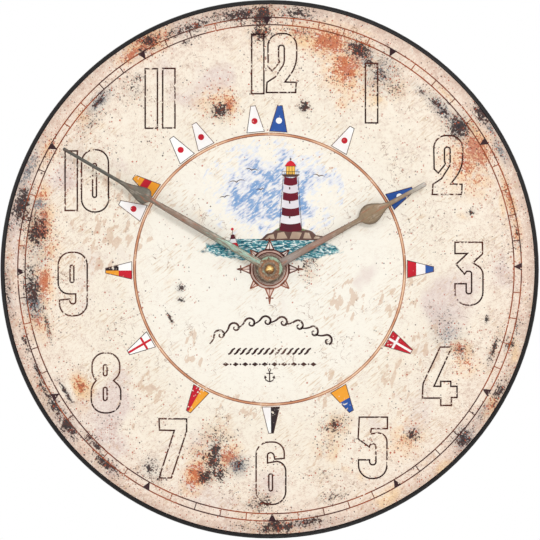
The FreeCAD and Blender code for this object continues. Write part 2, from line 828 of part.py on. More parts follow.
def stator():
    """Soft iron plate round the rotor, with an arm to each end of the coil's core."""
    hole_radius = magnet_radius + air_gap
    elbow_height = coil_height - bobbin_flange_radius - stator_arm_width / 2 - seat_clearance
    pieces = [rod(hole_radius + stator_rim, stator_front, stator_back, rotor_place)]
    for pad in stator_pads:
        elbow = (pad[0], elbow_height)
        pieces.append(stator_arm(rotor_place, elbow, stator_arm_width, stator_front, stator_back))
        pieces.append(stator_arm(elbow, pad, stator_arm_width, stator_front, stator_back))
        pieces.append(rod(stator_arm_width / 2, stator_front, stator_back, elbow))
        pieces.append(rod(stator_pad_radius, stator_front, stator_back, pad))
    plate = joined(pieces).cut(rod(hole_radius, stator_front - overrun, stator_back + overrun, rotor_place))
    for pad in stator_pads:
        plate = plate.cut(rod(screw_shank_radius, stator_front - overrun, stator_back + overrun, pad))
    return plate


def coil_core():
    """Flat iron bar through the coil, screwed on the stator's pads."""
    pieces = [stator_arm(stator_pads[0], stator_pads[1], core_width, stator_back, core_back)]
    for pad in stator_pads:
        pieces.append(rod(stator_pad_radius, stator_back, core_back, pad))
    bar = joined(pieces)
    for pad in stator_pads:
        bar = bar.cut(rod(screw_shank_radius, stator_back - overrun, core_back + overrun, pad))
    return bar


def coil_ends():
    """Places along X of the bobbin's two ends, clear of the screw heads."""
    margin = stator_pad_radius + seat_clearance
    return (coil_left + margin, coil_right - margin)


def rod_along_x(radius, x0, x1, y, z):
    """Round bar along X from x0 to x1."""
    return Part.makeCylinder(radius, x1 - x0, Vector(x0, y, z), Vector(1, 0, 0))


def coil_axis_y():
    """Middle plane of the coil's core."""
    return (stator_back + core_back) / 2


def bobbin_tube_radius():
    """Radius of the bobbin's tube, which clears the core's corners."""
    return math.hypot(core_width, stator_thickness) / 2 + bobbin_wall


def coil_bobbin():
    """Spool with a flange at each end and a slot for the core."""
    start, end = coil_ends()
    axis_y = coil_axis_y()
    pieces = [
        rod_along_x(bobbin_tube_radius(), start, end, axis_y, coil_height),
        rod_along_x(bobbin_flange_radius, start, start + bobbin_flange_thickness, axis_y, coil_height),
        rod_along_x(bobbin_flange_radius, end - bobbin_flange_thickness, end, axis_y, coil_height),
    ]
    slot = block(
        start - overrun, end + overrun, stator_back, core_back,
        coil_height - core_width / 2, coil_height + core_width / 2)
    return joined(pieces).cut(slot)


def coil_winding():
    """Fine copper winding, which fills the bobbin between its flanges."""
    start, end = coil_ends()
    left = start + bobbin_flange_thickness
    right = end - bobbin_flange_thickness
    outer = rod_along_x(winding_radius, left, right, coil_axis_y(), coil_height)
    return outer.cut(rod_along_x(
        bobbin_tube_radius(), left - overrun, right + overrun, coil_axis_y(), coil_height))


def stator_screws():
    """Two slotted screws that hold the core and the stator to the case's posts."""
    screws = []
    for at in stator_pads:
        head = rod(screw_head_radius, core_back, core_back + screw_head_height, at)
        slot = block(
            at[0] - screw_head_radius - overrun, at[0] + screw_head_radius + overrun,
            core_back + screw_head_height - screw_slot_depth, core_back + screw_head_height + overrun,
            at[1] - screw_slot_width / 2, at[1] + screw_slot_width / 2)
        shank = rod(screw_shank_radius, stator_front - screw_grip + seat_clearance, core_back, at)
        screws.append(joined([head.cut(slot), shank]))
    return Part.makeCompound(screws)


def circuit_board():
    """Narrow board across the top of the case, with holes for the stator's posts."""
    board = block(
        -circuit_half_width, circuit_half_width, circuit_front, circuit_back,
        circuit_bottom, circuit_top)
    for at in stator_pads:
        hole = rod(stator_post_radius + seat_clearance, circuit_front - overrun, circuit_back + overrun, at)
        board = board.cut(hole)
    return board


def clock_chip():
    """Drop of resin over the clock chip, a part of a ball."""
    ball_radius = (chip_radius ** 2 + chip_height ** 2) / (2 * chip_height)
    centre = Vector(chip_place, circuit_back + chip_height - ball_radius, coil_height)
    ball = Part.makeSphere(ball_radius, centre)
    keep = block(
        chip_place - ball_radius, chip_place + ball_radius, circuit_back, circuit_back + chip_height + overrun,
        coil_height - ball_radius, coil_height + ball_radius)
    return ball.common(keep)


def quartz_crystal():
    """Small metal can of the crystal, lying on the board."""
    return rod_along_x(
        crystal_radius, crystal_left, crystal_left + crystal_length, circuit_back + crystal_radius,
        coil_height)


def contact_strip(side):
    """Strip up a side wall from the cell to the board, with a foot on the board; side is -1 or 1."""
    near = side * strip_inner
    far = side * case_inner_side
    low = cell_axis_z - contact_below_axis
    top = coil_height + strip_foot_height / 2
    upright = block(
        min(near, far), max(near, far), strip_middle_y - strip_width / 2, strip_middle_y + strip_width / 2,
        low, top)
    neck = block(
        min(near, far), max(near, far), circuit_back, strip_middle_y,
        coil_height - strip_foot_height / 2, top)
    foot_end = side * (strip_inner - strip_foot)
    foot = block(
        min(foot_end, far), max(foot_end, far), circuit_back, circuit_back + strip_thickness,
        coil_height - strip_foot_height / 2, top)
    return joined([upright, neck, foot])


def arc_band(rise, half_height, thickness, x, z, y0, y1):
    """Bowed strip that starts and ends at x and bulges towards -X by rise."""
    def arc(offset):
        return Part.Arc(
            Vector(x + offset, y0, z - half_height),
            Vector(x + offset - rise, y0, z),
            Vector(x + offset, y0, z + half_height)).toShape()

    outer = arc(0)
    inner = arc(thickness)
    low = Part.makeLine(Vector(x, y0, z - half_height), Vector(x + thickness, y0, z - half_height))
    high = Part.makeLine(Vector(x, y0, z + half_height), Vector(x + thickness, y0, z + half_height))
    face = Part.Face(Part.Wire(Part.sortEdges([outer, high, inner, low])[0]))
    return face.extrude(Vector(0, y1 - y0, 0))


def positive_contact():
    """Flat strip at the cell's nub end."""
    return contact_strip(-1)


def negative_contact():
    """Strip with a bowed spring that presses the cell's flat end."""
    rise = strip_inner - cell_can_right - cell_end_gap
    bow = arc_band(
        rise, bow_half_height, strip_thickness, strip_inner, cell_axis_z,
        strip_middle_y - strip_width / 2, strip_middle_y + strip_width / 2)
    return joined([contact_strip(1), bow])


def cell_can():
    """Steel can of the battery with its nub."""
    can_radius = cell_radius - sleeve_thickness
    return joined([
        rod_along_x(can_radius, cell_can_left, cell_can_right, cell_axis_y, cell_axis_z),
        rod_along_x(cell_nub_radius, cell_can_left - cell_nub_length, cell_can_left + overrun,
                    cell_axis_y, cell_axis_z),
    ])


def cell_sleeve():
    """Plastic sleeve round the battery's can."""
    left = cell_can_left + sleeve_margin
    right = cell_can_right - sleeve_margin
    outer = rod_along_x(cell_radius, left, right, cell_axis_y, cell_axis_z)
    return outer.cut(rod_along_x(
        cell_radius - sleeve_thickness, left - overrun, right + overrun, cell_axis_y, cell_axis_z))


def spade_edge(neck_place, neck_width, spade_width, spade_length, needle_width, side):
    """One side of the spade as a smooth curve from the neck to the needle."""
    points = []
    for along_share, widening_share in spade_shape_share:
        base = neck_width + (needle_width - neck_width) * along_share
        width = base + (spade_width - base) * widening_share
        points.append(Vector(side * width / 2, 0, neck_place + spade_length * along_share))
    curve = Part.BSplineCurve()
    curve.interpolate(points)
    return curve.toShape()


def hand_blank(length, boss_radius, root_width, neck_place, neck_width, spade_width, spade_length,
               needle_width):
    """Flat outline of a hand that points up, as a face: blade, spade and round-ended needle."""
    def at(x, z):
        return Vector(x, 0, z)

    needle_end = length - needle_width / 2
    edges = [
        Part.makeLine(at(-root_width / 2, 0), at(root_width / 2, 0)),
        Part.makeLine(at(root_width / 2, 0), at(neck_width / 2, neck_place)),
        spade_edge(neck_place, neck_width, spade_width, spade_length, needle_width, 1),
        Part.makeLine(at(needle_width / 2, neck_place + spade_length), at(needle_width / 2, needle_end)),
        Part.Arc(at(needle_width / 2, needle_end), at(0, length), at(-needle_width / 2, needle_end)).toShape(),
        Part.makeLine(at(-needle_width / 2, needle_end), at(-needle_width / 2, neck_place + spade_length)),
        spade_edge(neck_place, neck_width, spade_width, spade_length, needle_width, -1),
        Part.makeLine(at(-neck_width / 2, neck_place), at(-root_width / 2, 0)),
    ]
    return Part.Face(Part.Wire(Part.sortEdges(edges)[0]))


def hand(face, front, back, boss_radius, bore_radius, angle):
    """Stamped hand: the outline and its round boss, with the front edge broken, turned to its angle."""
    blade = face.extrude(Vector(0, back - front, 0))
    blade.translate(Vector(0, front, 0))
    boss = turned((
        (0.0, front),
        (boss_radius - hand_bevel, front),
        (boss_radius, front + hand_bevel),
        (boss_radius, back),
        (0.0, back),
    ))
    shape = joined([blade, boss]).cut(rod(bore_radius, front - overrun, back + overrun))
    shape.rotate(Vector(0, 0, 0), Vector(0, 1, 0), angle)
    return shape


def hour_hand():
    """Hour hand with a wide boss."""
    face = hand_blank(
        hour_hand_length, hour_boss_radius, hour_root_width, hour_neck_place, hour_neck_width,
        hour_spade_width, hour_spade_length, hour_needle_width)
    return hand(face, hour_hand_front, hour_hand_back, hour_boss_radius, hour_pipe_radius, hour_hand_angle)


def minute_hand():
    """Minute hand, longer and slimmer."""
    face = hand_blank(
        minute_hand_length, minute_boss_radius, minute_root_width, minute_neck_place, minute_neck_width,
        minute_spade_width, minute_spade_length, minute_needle_width)
    return hand(
        face, minute_hand_front, minute_hand_back, minute_boss_radius, minute_arbor_radius,
        minute_hand_angle)


def hour_collet():
    """Collet behind the hour hand, pressed on the pipe."""
    return tube(
        hour_pipe_radius + hour_collet_wall, hour_pipe_radius, hour_hand_back,
        hour_hand_back + hour_collet_height)


def minute_collet():
    """Collet behind the minute hand, pressed on the arbor."""
    return tube(
        minute_arbor_radius + minute_collet_wall, minute_arbor_radius, minute_hand_back,
        minute_hand_back + minute_collet_height)


def cap_nut():
    """Domed nut on the minute arbor's thread."""
    dome_radius = cap_radius - cap_flange_step
    dome_base = minute_hand_front - cap_flange_height
    dome_height = cap_height - cap_flange_height
    flange = rod(cap_radius, dome_base, minute_hand_front)
    ball_radius = (dome_radius ** 2 + dome_height ** 2) / (2 * dome_height)
    ball = Part.makeSphere(ball_radius, Vector(0, dome_base - dome_height + ball_radius, 0))
    keep = rod(dome_radius, dome_base - dome_height - overrun, dome_base)
    dome = ball.common(keep)
    hole = rod(thread_radius, thread_front - cap_thread_cover / 2, minute_hand_front + overrun)
    return joined([flange, dome]).cut(hole)


pieces = {
    "dial_board": dial_board,
    "dial_paper": dial_paper,
    "rubber_gasket": gasket,
    "dial_washer": dial_washer,
    "bush_nut": bush_nut,
    "threaded_bush": threaded_bush,
    "front_case": front_case,
    "rear_cover": rear_cover,
    "gear_plate": gear_plate,
    "minute_arbor": minute_arbor,
    "centre_wheel": centre_wheel,
    "clutch_spring": clutch_spring,
    "third_wheel": third_wheel,
    "seconds_wheel": seconds_wheel,
    "intermediate_wheel": intermediate_wheel,
    "rotor_arbor": rotor_arbor,
    "rotor_magnet": rotor_magnet,
    "minute_wheel": minute_wheel,
    "hour_wheel": hour_wheel,
    "setting_knob": setting_knob,
    "stator": stator,
    "coil_core": coil_core,
    "coil_bobbin": coil_bobbin,
    "coil_winding": coil_winding,
    "stator_screws": stator_screws,
    "circuit_board": circuit_board,
    "clock_chip": clock_chip,
    "quartz_crystal": quartz_crystal,
    "positive_contact": positive_contact,
    "negative_contact": negative_contact,
    "cell_can": cell_can,
    "cell_sleeve": cell_sleeve,
    "hour_hand": hour_hand,
    "hour_collet": hour_collet,
    "minute_hand": minute_hand,
    "minute_collet": minute_collet,
    "cap_nut": cap_nut,
}

os.makedirs("parts", exist_ok=True)
for node, make in pieces.items():
    shape = make()
    save(node, shape)
    print(node, len(shape.Solids), shape.isValid(), round(shape.Volume, 2))
print("hands' axis below the hook", hang_drop)
print("third", third_place, "minute wheel", minute_wheel_place, "knob", knob_place)
print("intermediate", intermediate_place, "rotor", rotor_place)
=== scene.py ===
"""The looks of a round nautical wall clock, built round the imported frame.

The dial is drawn as thin printed pieces on the paper, the hands are pillowed and antiqued, and every
piece of the board, the hands and the movement gets its finish here.
"""

import logging
import math
from collections.abc import Iterable, Iterator, Sequence
from contextlib import contextmanager
from dataclasses import dataclass, field
from enum import Enum, IntEnum
from functools import cache
from random import Random

import bmesh
import bpy
from mathutils import Matrix, Vector


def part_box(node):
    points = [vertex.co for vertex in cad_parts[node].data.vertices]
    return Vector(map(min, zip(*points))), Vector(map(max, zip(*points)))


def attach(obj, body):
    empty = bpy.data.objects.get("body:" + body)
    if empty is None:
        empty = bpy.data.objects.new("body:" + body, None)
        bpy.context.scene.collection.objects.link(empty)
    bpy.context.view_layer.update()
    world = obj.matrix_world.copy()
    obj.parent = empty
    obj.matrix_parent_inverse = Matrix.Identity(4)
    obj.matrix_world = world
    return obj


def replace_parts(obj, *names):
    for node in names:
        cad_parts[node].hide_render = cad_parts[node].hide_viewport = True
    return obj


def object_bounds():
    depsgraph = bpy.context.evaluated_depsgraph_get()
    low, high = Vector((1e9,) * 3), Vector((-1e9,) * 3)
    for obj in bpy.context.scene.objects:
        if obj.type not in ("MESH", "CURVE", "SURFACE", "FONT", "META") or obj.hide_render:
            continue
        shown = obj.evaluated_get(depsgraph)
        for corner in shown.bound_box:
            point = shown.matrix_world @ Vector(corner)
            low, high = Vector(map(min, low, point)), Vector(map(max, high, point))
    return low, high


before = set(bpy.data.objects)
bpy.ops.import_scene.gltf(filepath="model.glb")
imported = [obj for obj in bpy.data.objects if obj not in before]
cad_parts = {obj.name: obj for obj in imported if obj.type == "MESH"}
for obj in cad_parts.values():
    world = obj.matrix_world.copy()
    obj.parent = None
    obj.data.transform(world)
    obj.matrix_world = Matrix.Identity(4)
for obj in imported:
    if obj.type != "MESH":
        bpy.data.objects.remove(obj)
cad_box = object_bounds()

log = logging.getLogger("clock")

MM = 0.001
FULL_TURN = math.tau
# How near a hand's point lies to the blade's edge; the hands' finish reads it to paint shade along the
# edges.
RIM_ATTRIBUTE = "rim"
DEPTH_BETWEEN_LAYERS = 0.012
SWEEP_RADIUS = 160.0
MATT = 0.62

Mesh = bmesh.types.BMesh
Face = bmesh.types.BMFace
NodeTree = bpy.types.NodeTree
Numbers = tuple[float, ...]
# The corners of an outline in millimetres, each with how far from it the rounding starts where it has one.
Outline = Sequence[Numbers]
# A colour as on a paint card: two hexadecimal digits each for red, green and blue.
Tint = str
Stops = tuple[tuple[float, Tint], ...]


class Body(Enum):
    """The moving bodies that new pieces ride on."""

    CLOCK = "clock_body"
    MINUTE = "minute_works"
    HOUR = "hour_works"


def linear(tint: Tint) -> Numbers:
    """Gives a colour as a shader socket takes it."""
    shares = [int(tint[at:at + 2], 16) / 255 for at in (0, 2, 4)]
    return (*(s / 12.92 if s <= 0.04045 else ((s + 0.055) / 1.055) ** 2.4 for s in shares), 1)


class Wire:
    """A value that runs through a shader graph, with short ways to work on it."""

    def __init__(self, graph: "Graph", socket: bpy.types.NodeSocket) -> None:
        """Keeps the graph, and the socket that gives the value."""
        self.graph = graph
        self.socket = socket

    def math(self, operation: str, *others: "Value") -> "Wire":
        """Adds one sum of this value and others."""
        return self.graph.wire("Math", (self, *others), operation=operation)

    def __add__(self, other: "Value") -> "Wire":
        """Adds a value."""
        return self.math("ADD", other)

    def __sub__(self, other: "Value") -> "Wire":
        """Takes a value away."""
        return self.math("SUBTRACT", other)

    def __rsub__(self, other: float) -> "Wire":
        """Takes this value away from a number."""
        return self.graph.wire("Math", (other, self), operation="SUBTRACT")

    def __mul__(self, other: "Value") -> "Wire":
        """Multiplies by a value."""
        return self.math("MULTIPLY", other)

    def __truediv__(self, other: float) -> "Wire":
        """Divides by a number."""
        return self.math("DIVIDE", other)

    def vector(self, operation: str, *others: object, result: str = "Vector") -> "Wire":
        """Adds one sum of this vector and others."""
        return self.graph.wire("VectorMath", (self, *others), result, operation=operation)

    def parts(self) -> list["Wire"]:
        """Splits a vector into its three numbers."""
        node = self.graph.add("SeparateXYZ", (self,))
        return [Wire(self.graph, socket) for socket in node.outputs]

    def mapped(self, **move: object) -> "Wire":
        """Gives the place as read in a frame that is moved, turned and drawn out."""
        return self.graph.wire("Mapping", {"Vector": self, **move}, vector_type="TEXTURE")

    def mix(self, first: object, second: object) -> "Wire":
        """Blends two colours, with this value as the share of the second."""
        return self.graph.wire("Mix", {0: self, 6: first, 7: second}, 2, data_type="RGBA")

    def noise(self, per_mm: float, detail: float = 2, twist: float = 0) -> "Wire":
        """Gives cloudy noise round 0.5, by its waves in a millimetre, finer layers and distortion."""
        fed = {"Vector": self, "Scale": per_mm, "Detail": detail, "Distortion": twist}
        return self.graph.wire("TexNoise", fed, "Fac")

    def strokes(self, turn: float, length: float, width: float, detail: float = 2) -> "Wire":
        """Gives noise in strokes, turned from level by degrees, with waves of a length and a width."""
        slant = (0, 0, math.radians(turn))
        return self.mapped(Rotation=slant, Scale=(length, width, 1)).noise(1, detail)

    def cells(self, per_mm: float) -> list["Wire"]:
        """Gives a field of cells: the distance from their points, and their colours."""
        node = self.graph.add("TexVoronoi", {"Vector": self, "Scale": per_mm}, voronoi_dimensions="2D")
        return [Wire(self.graph, node.outputs[name]) for name in ("Distance", "Color")]

    def rise(self, low: "Value", high: "Value", top: "Value" = 1) -> "Wire":
        """Gives a share that rises smoothly from 0 at a low value to its top at a high one."""
        fed = {"Value": self, "From Min": low, "From Max": high, "To Max": top}
        return self.graph.wire("MapRange", fed, "Result", interpolation_type="SMOOTHSTEP")

    def ramp(self, stops: Stops) -> "Wire":
        """Turns a share into a colour.

        Args:
            stops: Where each colour stands.

        Returns:
            The colour.
        """
        node = self.graph.add("ValToRGB", (self,))
        elements = node.color_ramp.elements
        for index, (share, tint) in enumerate(stops):
            element = elements[index] if index < 2 else elements.new(share)
            element.position = share
            element.color = linear(tint)
        return Wire(self.graph, node.outputs[0])


Value = float | Wire


class Graph:
    """A shader node tree, with short ways to add nodes and join them."""

    def __init__(self, tree: NodeTree) -> None:
        """Keeps the tree that the nodes go into."""
        self.tree = tree

    @classmethod
    def group(cls, name: str, takes: str, gives: str) -> "Graph":
        """Starts a node group.

        Args:
            name: What the group is called.
            takes: Its inputs, as words such as Flat:Vector.
            gives: Its outputs, in the same way.

        Returns:
            The graph of the new group.
        """
        tree = bpy.data.node_groups.new(name, "ShaderNodeTree")
        for way, words in (("INPUT", takes), ("OUTPUT", gives)):
            for label, kind in (word.split(":") for word in words.split()):
                tree.interface.new_socket(name=label, in_out=way, socket_type=f"NodeSocket{kind}")
        graph = cls(tree)
        sources = tree.nodes.new("NodeGroupInput").outputs
        graph.source = {socket.name: Wire(graph, socket) for socket in sources}
        graph.results = tree.nodes.new("NodeGroupOutput").inputs
        return graph

    def give(self, **results: Wire) -> NodeTree:
        """Feeds the group's outputs.

        Args:
            **results: The value of each output.

        Returns:
            The group's tree.
        """
        for label, value in results.items():
            self.feed(self.results[label], value)
        return self.tree

    def feed(self, socket: bpy.types.NodeSocket, value: object) -> None:
        """Joins a socket to a value: a wire is linked, and a number or a tint is set.

        Args:
            socket: The node's input.
            value: What it is fed.
        """
        if isinstance(value, Wire):
            self.tree.links.new(value.socket, socket)
        else:
            socket.default_value = linear(value) if isinstance(value, str) else value

    def add(self, kind: str, fed: object = (), **settings: object) -> bpy.types.Node:
        """Adds a node.

        Args:
            kind: The node's kind, as its type is called after ShaderNode.
            fed: What its inputs are fed, in their order or by name.
            **settings: Attributes to set on it.

        Returns:
            The node.
        """
        node = self.tree.nodes.new("ShaderNode" + kind)
        for label, value in settings.items():
            setattr(node, label, value)
        for label, value in fed.items() if isinstance(fed, dict) else enumerate(fed):
            self.feed(node.inputs[label], value)
        return node

    def wire(self, kind: str, fed: object = (), output: int | str = 0, **settings: object) -> Wire:
        """Adds a node, and gives one of its outputs."""
        return Wire(self, self.add(kind, fed, **settings).outputs[output])

    def joined(self, *values: Value) -> Wire:
        """Makes a vector of three numbers."""
        return self.wire("CombineXYZ", values)

    def use(self, group: NodeTree, **values: object) -> dict[str, Wire]:
        """Places a node group, feeds its inputs, and gives its outputs by name."""
        node = self.add("Group", values, node_tree=group)
        return {socket.name: Wire(self, socket) for socket in node.outputs}


@dataclass(frozen=True)
class DialPlace:
    """Where the dial lies: the hands' axis, the paper's front and its radius, in metres."""

    across: float
    up: float
    front: float
    radius: float

    @classmethod
    def from_frame(cls) -> "DialPlace":
        """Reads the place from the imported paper.

        Returns:
            The place.
        """
        low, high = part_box("dial_paper")
        centre = (low + high) / 2
        return cls(round(centre.x, 5), round(centre.z, 5), low.y, (high.x - low.x) / 2)

    def point(self) -> Numbers:
        """Gives the middle of the paper's front."""
        return (self.across, self.front, self.up)

    def settle(self, mesh: Mesh) -> None:
        """Moves a drawing, in millimetres and facing up, to the dial."""
        move = Matrix.Translation(self.point()) @ Matrix.Rotation(math.radians(90), 4, "X")
        bmesh.ops.transform(mesh, matrix=move @ Matrix.Scale(MM, 4), verts=mesh.verts[:])

    def lift_of(self, node: str) -> float:
        """Gives how far a node's back stands before the paper, in millimetres."""
        return (self.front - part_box(node)[1].y) / MM


DIAL = DialPlace.from_frame()
PAPER_RADIUS = DIAL.radius / MM


class Layer(Enum):
    """How many layers of print stand above the paper."""

    WASH = 1
    CREST = 2
    FILL = 3
    FACE = 4
    LINE = 5
    DOT = 6


class Groups:
    """The effects that several finishes share, each built once as a node group."""

    @staticmethod
    @cache
    def dial_place() -> NodeTree:
        """Turns a point into flat millimetres, bearing and radius, and a sweep whose streaks run round.

        Returns:
            The group.
        """
        graph = Graph.group("dial place", "Position:Vector", "Flat:Vector Polar:Vector Sweep:Vector")
        shifted = graph.source["Position"].mapped(Location=DIAL.point(), Scale=(MM, MM, MM))
        across, _, up = shifted.parts()
        flat = graph.joined(across, up, 0)
        radius = flat.vector("LENGTH", result="Value")
        bearing = across.math("ARCTAN2", up) * (360 / FULL_TURN)
        sweep = flat.vector("NORMALIZE").vector("MULTIPLY", (SWEEP_RADIUS, SWEEP_RADIUS, 0))
        sweep = sweep.vector("ADD", graph.joined(0, 0, radius))
        return graph.give(Flat=flat, Polar=graph.joined(bearing, radius, 0), Sweep=sweep)

    @staticmethod
    @cache
    def stain_spot() -> NodeTree:
        """Adds one stained place: three coats of paint that thin out from the middle of a turned oval.

        The place is handed on too, moved by next to nothing, because the renderer then works the
        spots out one after another, and has room for any number of them.

        Returns:
            The group.
        """
        takes = "Place:Vector Before:Vector Spot:Vector Turn:Vector Reach:Vector Coats:Vector"
        graph = Graph.group("stain spot", takes, "Place:Vector Coats:Vector")
        place, before, spot, turn, reach, own = list(graph.source.values())[:6]
        oval = place.mapped(Location=spot, Rotation=turn, Scale=reach)
        near = graph.wire("TexGradient", (oval,), "Fac", gradient_type="SPHERICAL")
        coats = before.vector("MAXIMUM", own.vector("MULTIPLY", near))
        return graph.give(Coats=coats, Place=coats.vector("MULTIPLY_ADD", (1e-6, 1e-6, 1e-6), place))

    @staticmethod
    @cache
    def print_wear() -> NodeTree:
        """Says where a printed line has worn away: short gaps, with fainter stretches round them.

        Returns:
            The group.
        """
        graph = Graph.group("print wear", "Flat:Vector Amount:Float", "Worn:Float")
        flat = graph.source["Flat"]
        bare = 0.66 - graph.source["Amount"] * 0.16
        return graph.give(Worn=(flat.noise(0.07) * 0.4 + flat.noise(0.55) * 0.6).rise(bare, bare + 0.06))

    @staticmethod
    @cache
    def fine_grain() -> NodeTree:
        """Gives the grain of moulded, rolled or turned surfaces: slow tones and a fine relief.

        Returns:
            The group.
        """
        graph = Graph.group("fine grain", "Position:Vector Stretch:Vector", "Tone:Float Relief:Float")
        place = graph.source["Position"].vector("DIVIDE", (MM, MM, MM))
        drawn = place.vector("MULTIPLY", graph.source["Stretch"])
        tone = drawn.noise(0.12, 3).rise(0.36, 0.64)
        return graph.give(Tone=tone, Relief=drawn.noise(1.6).rise(0.3, 0.7))


class Surface(Graph):
    """A material's node tree, with its shader and the point on the object."""

    def __init__(self, material: bpy.types.Material) -> None:
        """Starts the tree with its shader and its output.

        Args:
            material: The material that it belongs to.
        """
        material.use_nodes = True
        super().__init__(material.node_tree)
        self.tree.nodes.clear()
        self.shader = self.add("BsdfPrincipled")
        self.add("OutputMaterial", {"Surface": Wire(self, self.shader.outputs["BSDF"])})
        self.position = self.wire("TexCoord", output="Object")

    def cover(
        self, colour: Wire, rough: Value, relief: Wire | None = None, depth: float = 0, **plain: float
    ) -> None:
        """Feeds the shader.

        Args:
            colour: The colour.
            rough: The roughness.
            relief: The relief from 0 to 1, where there is one.
            depth: How deep the relief is, in millimetres.
            **plain: How metallic the surface is, and how specular where it isn't the usual.
        """
        inputs = self.shader.inputs
        self.feed(inputs["Base Color"], colour)
        self.feed(inputs["Roughness"], rough)
        inputs["Metallic"].default_value = plain.get("metallic", 0)
        inputs["Specular IOR Level"].default_value = plain.get("specular", 0.5)
        if relief is not None:
            bump = {"Strength": 1, "Distance": depth * MM, "Height": relief}
            self.feed(inputs["Normal"], self.wire("Bump", bump, "Normal"))

    def on_dial(self) -> dict[str, Wire]:
        """Gives the places on the dial."""
        return self.use(Groups.dial_place(), Position=self.position)

    def on_paper(self) -> tuple[Wire, Wire, dict[str, Wire]]:
        """Gives the paper's colour and relief, which worn print shows, and the places on the dial."""
        place = self.on_dial()
        return *self.use(PAINT.group(), **place).values(), place

    def grain(self, stretch: Numbers) -> tuple[Wire, Wire]:
        """Gives the tone and the relief of a fine grain."""
        return tuple(self.use(Groups.fine_grain(), Position=self.position, Stretch=stretch).values())


class Finish:
    """A finish that becomes one material."""

    name: str

    def material(self) -> bpy.types.Material:
        """Gives the finish's material, and builds it at the first call.

        Returns:
            The material.
        """
        material = bpy.data.materials.get(self.name)
        if material is None:
            material = bpy.data.materials.new(self.name)
            self.paint(Surface(material))
        return material

    def paint(self, surface: Surface) -> None:
        """Joins the finish's colours and relief to the shader."""
        raise NotImplementedError


@dataclass(frozen=True)
class PlainFinish(Finish):
    """A moulded, rolled, turned or cast surface with a fine grain and slow changes of tone."""

    name: str
    tint: Tint
    shade: Tint
    roughness: tuple[float, float]
    metallic: float = 0.0
    relief: float = 0.004
    stretch: Numbers = (1, 1, 1)

    def paint(self, surface: Surface) -> None:
        """Lays the grain over the tint.

        Args:
            surface: The material's nodes.
        """
        tone, fine = surface.grain(self.stretch)
        low, high = self.roughness
        rough = fine.rise(-low / (high - low), 1, high)
        surface.cover(tone.mix(self.tint, self.shade), rough, fine, self.relief, metallic=self.metallic)


def coats_of(graph: Graph, flat: Wire, stains: Iterable[Numbers]) -> list[Wire]:
    """Joins stained places into the largest share of each of three coats.

    Args:
        graph: The graph to add them to.
        flat: The place on the dial.
        stains: Rows of the bearing, the radius, the reach of each, and one to three coats in hundredths.

    Returns:
        The share of each coat.
    """
    coats: object = (0, 0, 0)
    for bearing, radius, turn, width, *own in stains:
        angle = math.radians(bearing)
        spot = graph.use(
            Groups.stain_spot(), Place=flat, Before=coats, Turn=(0, 0, -angle),
            Spot=(radius * math.sin(angle), radius * math.cos(angle), 0),
            Reach=(radius * math.radians(turn), width, 1), Coats=[share / 100 for share in (*own, 0, 0)[:3]],
        )
        flat, coats = spot["Place"], spot["Coats"]
    return coats.parts()


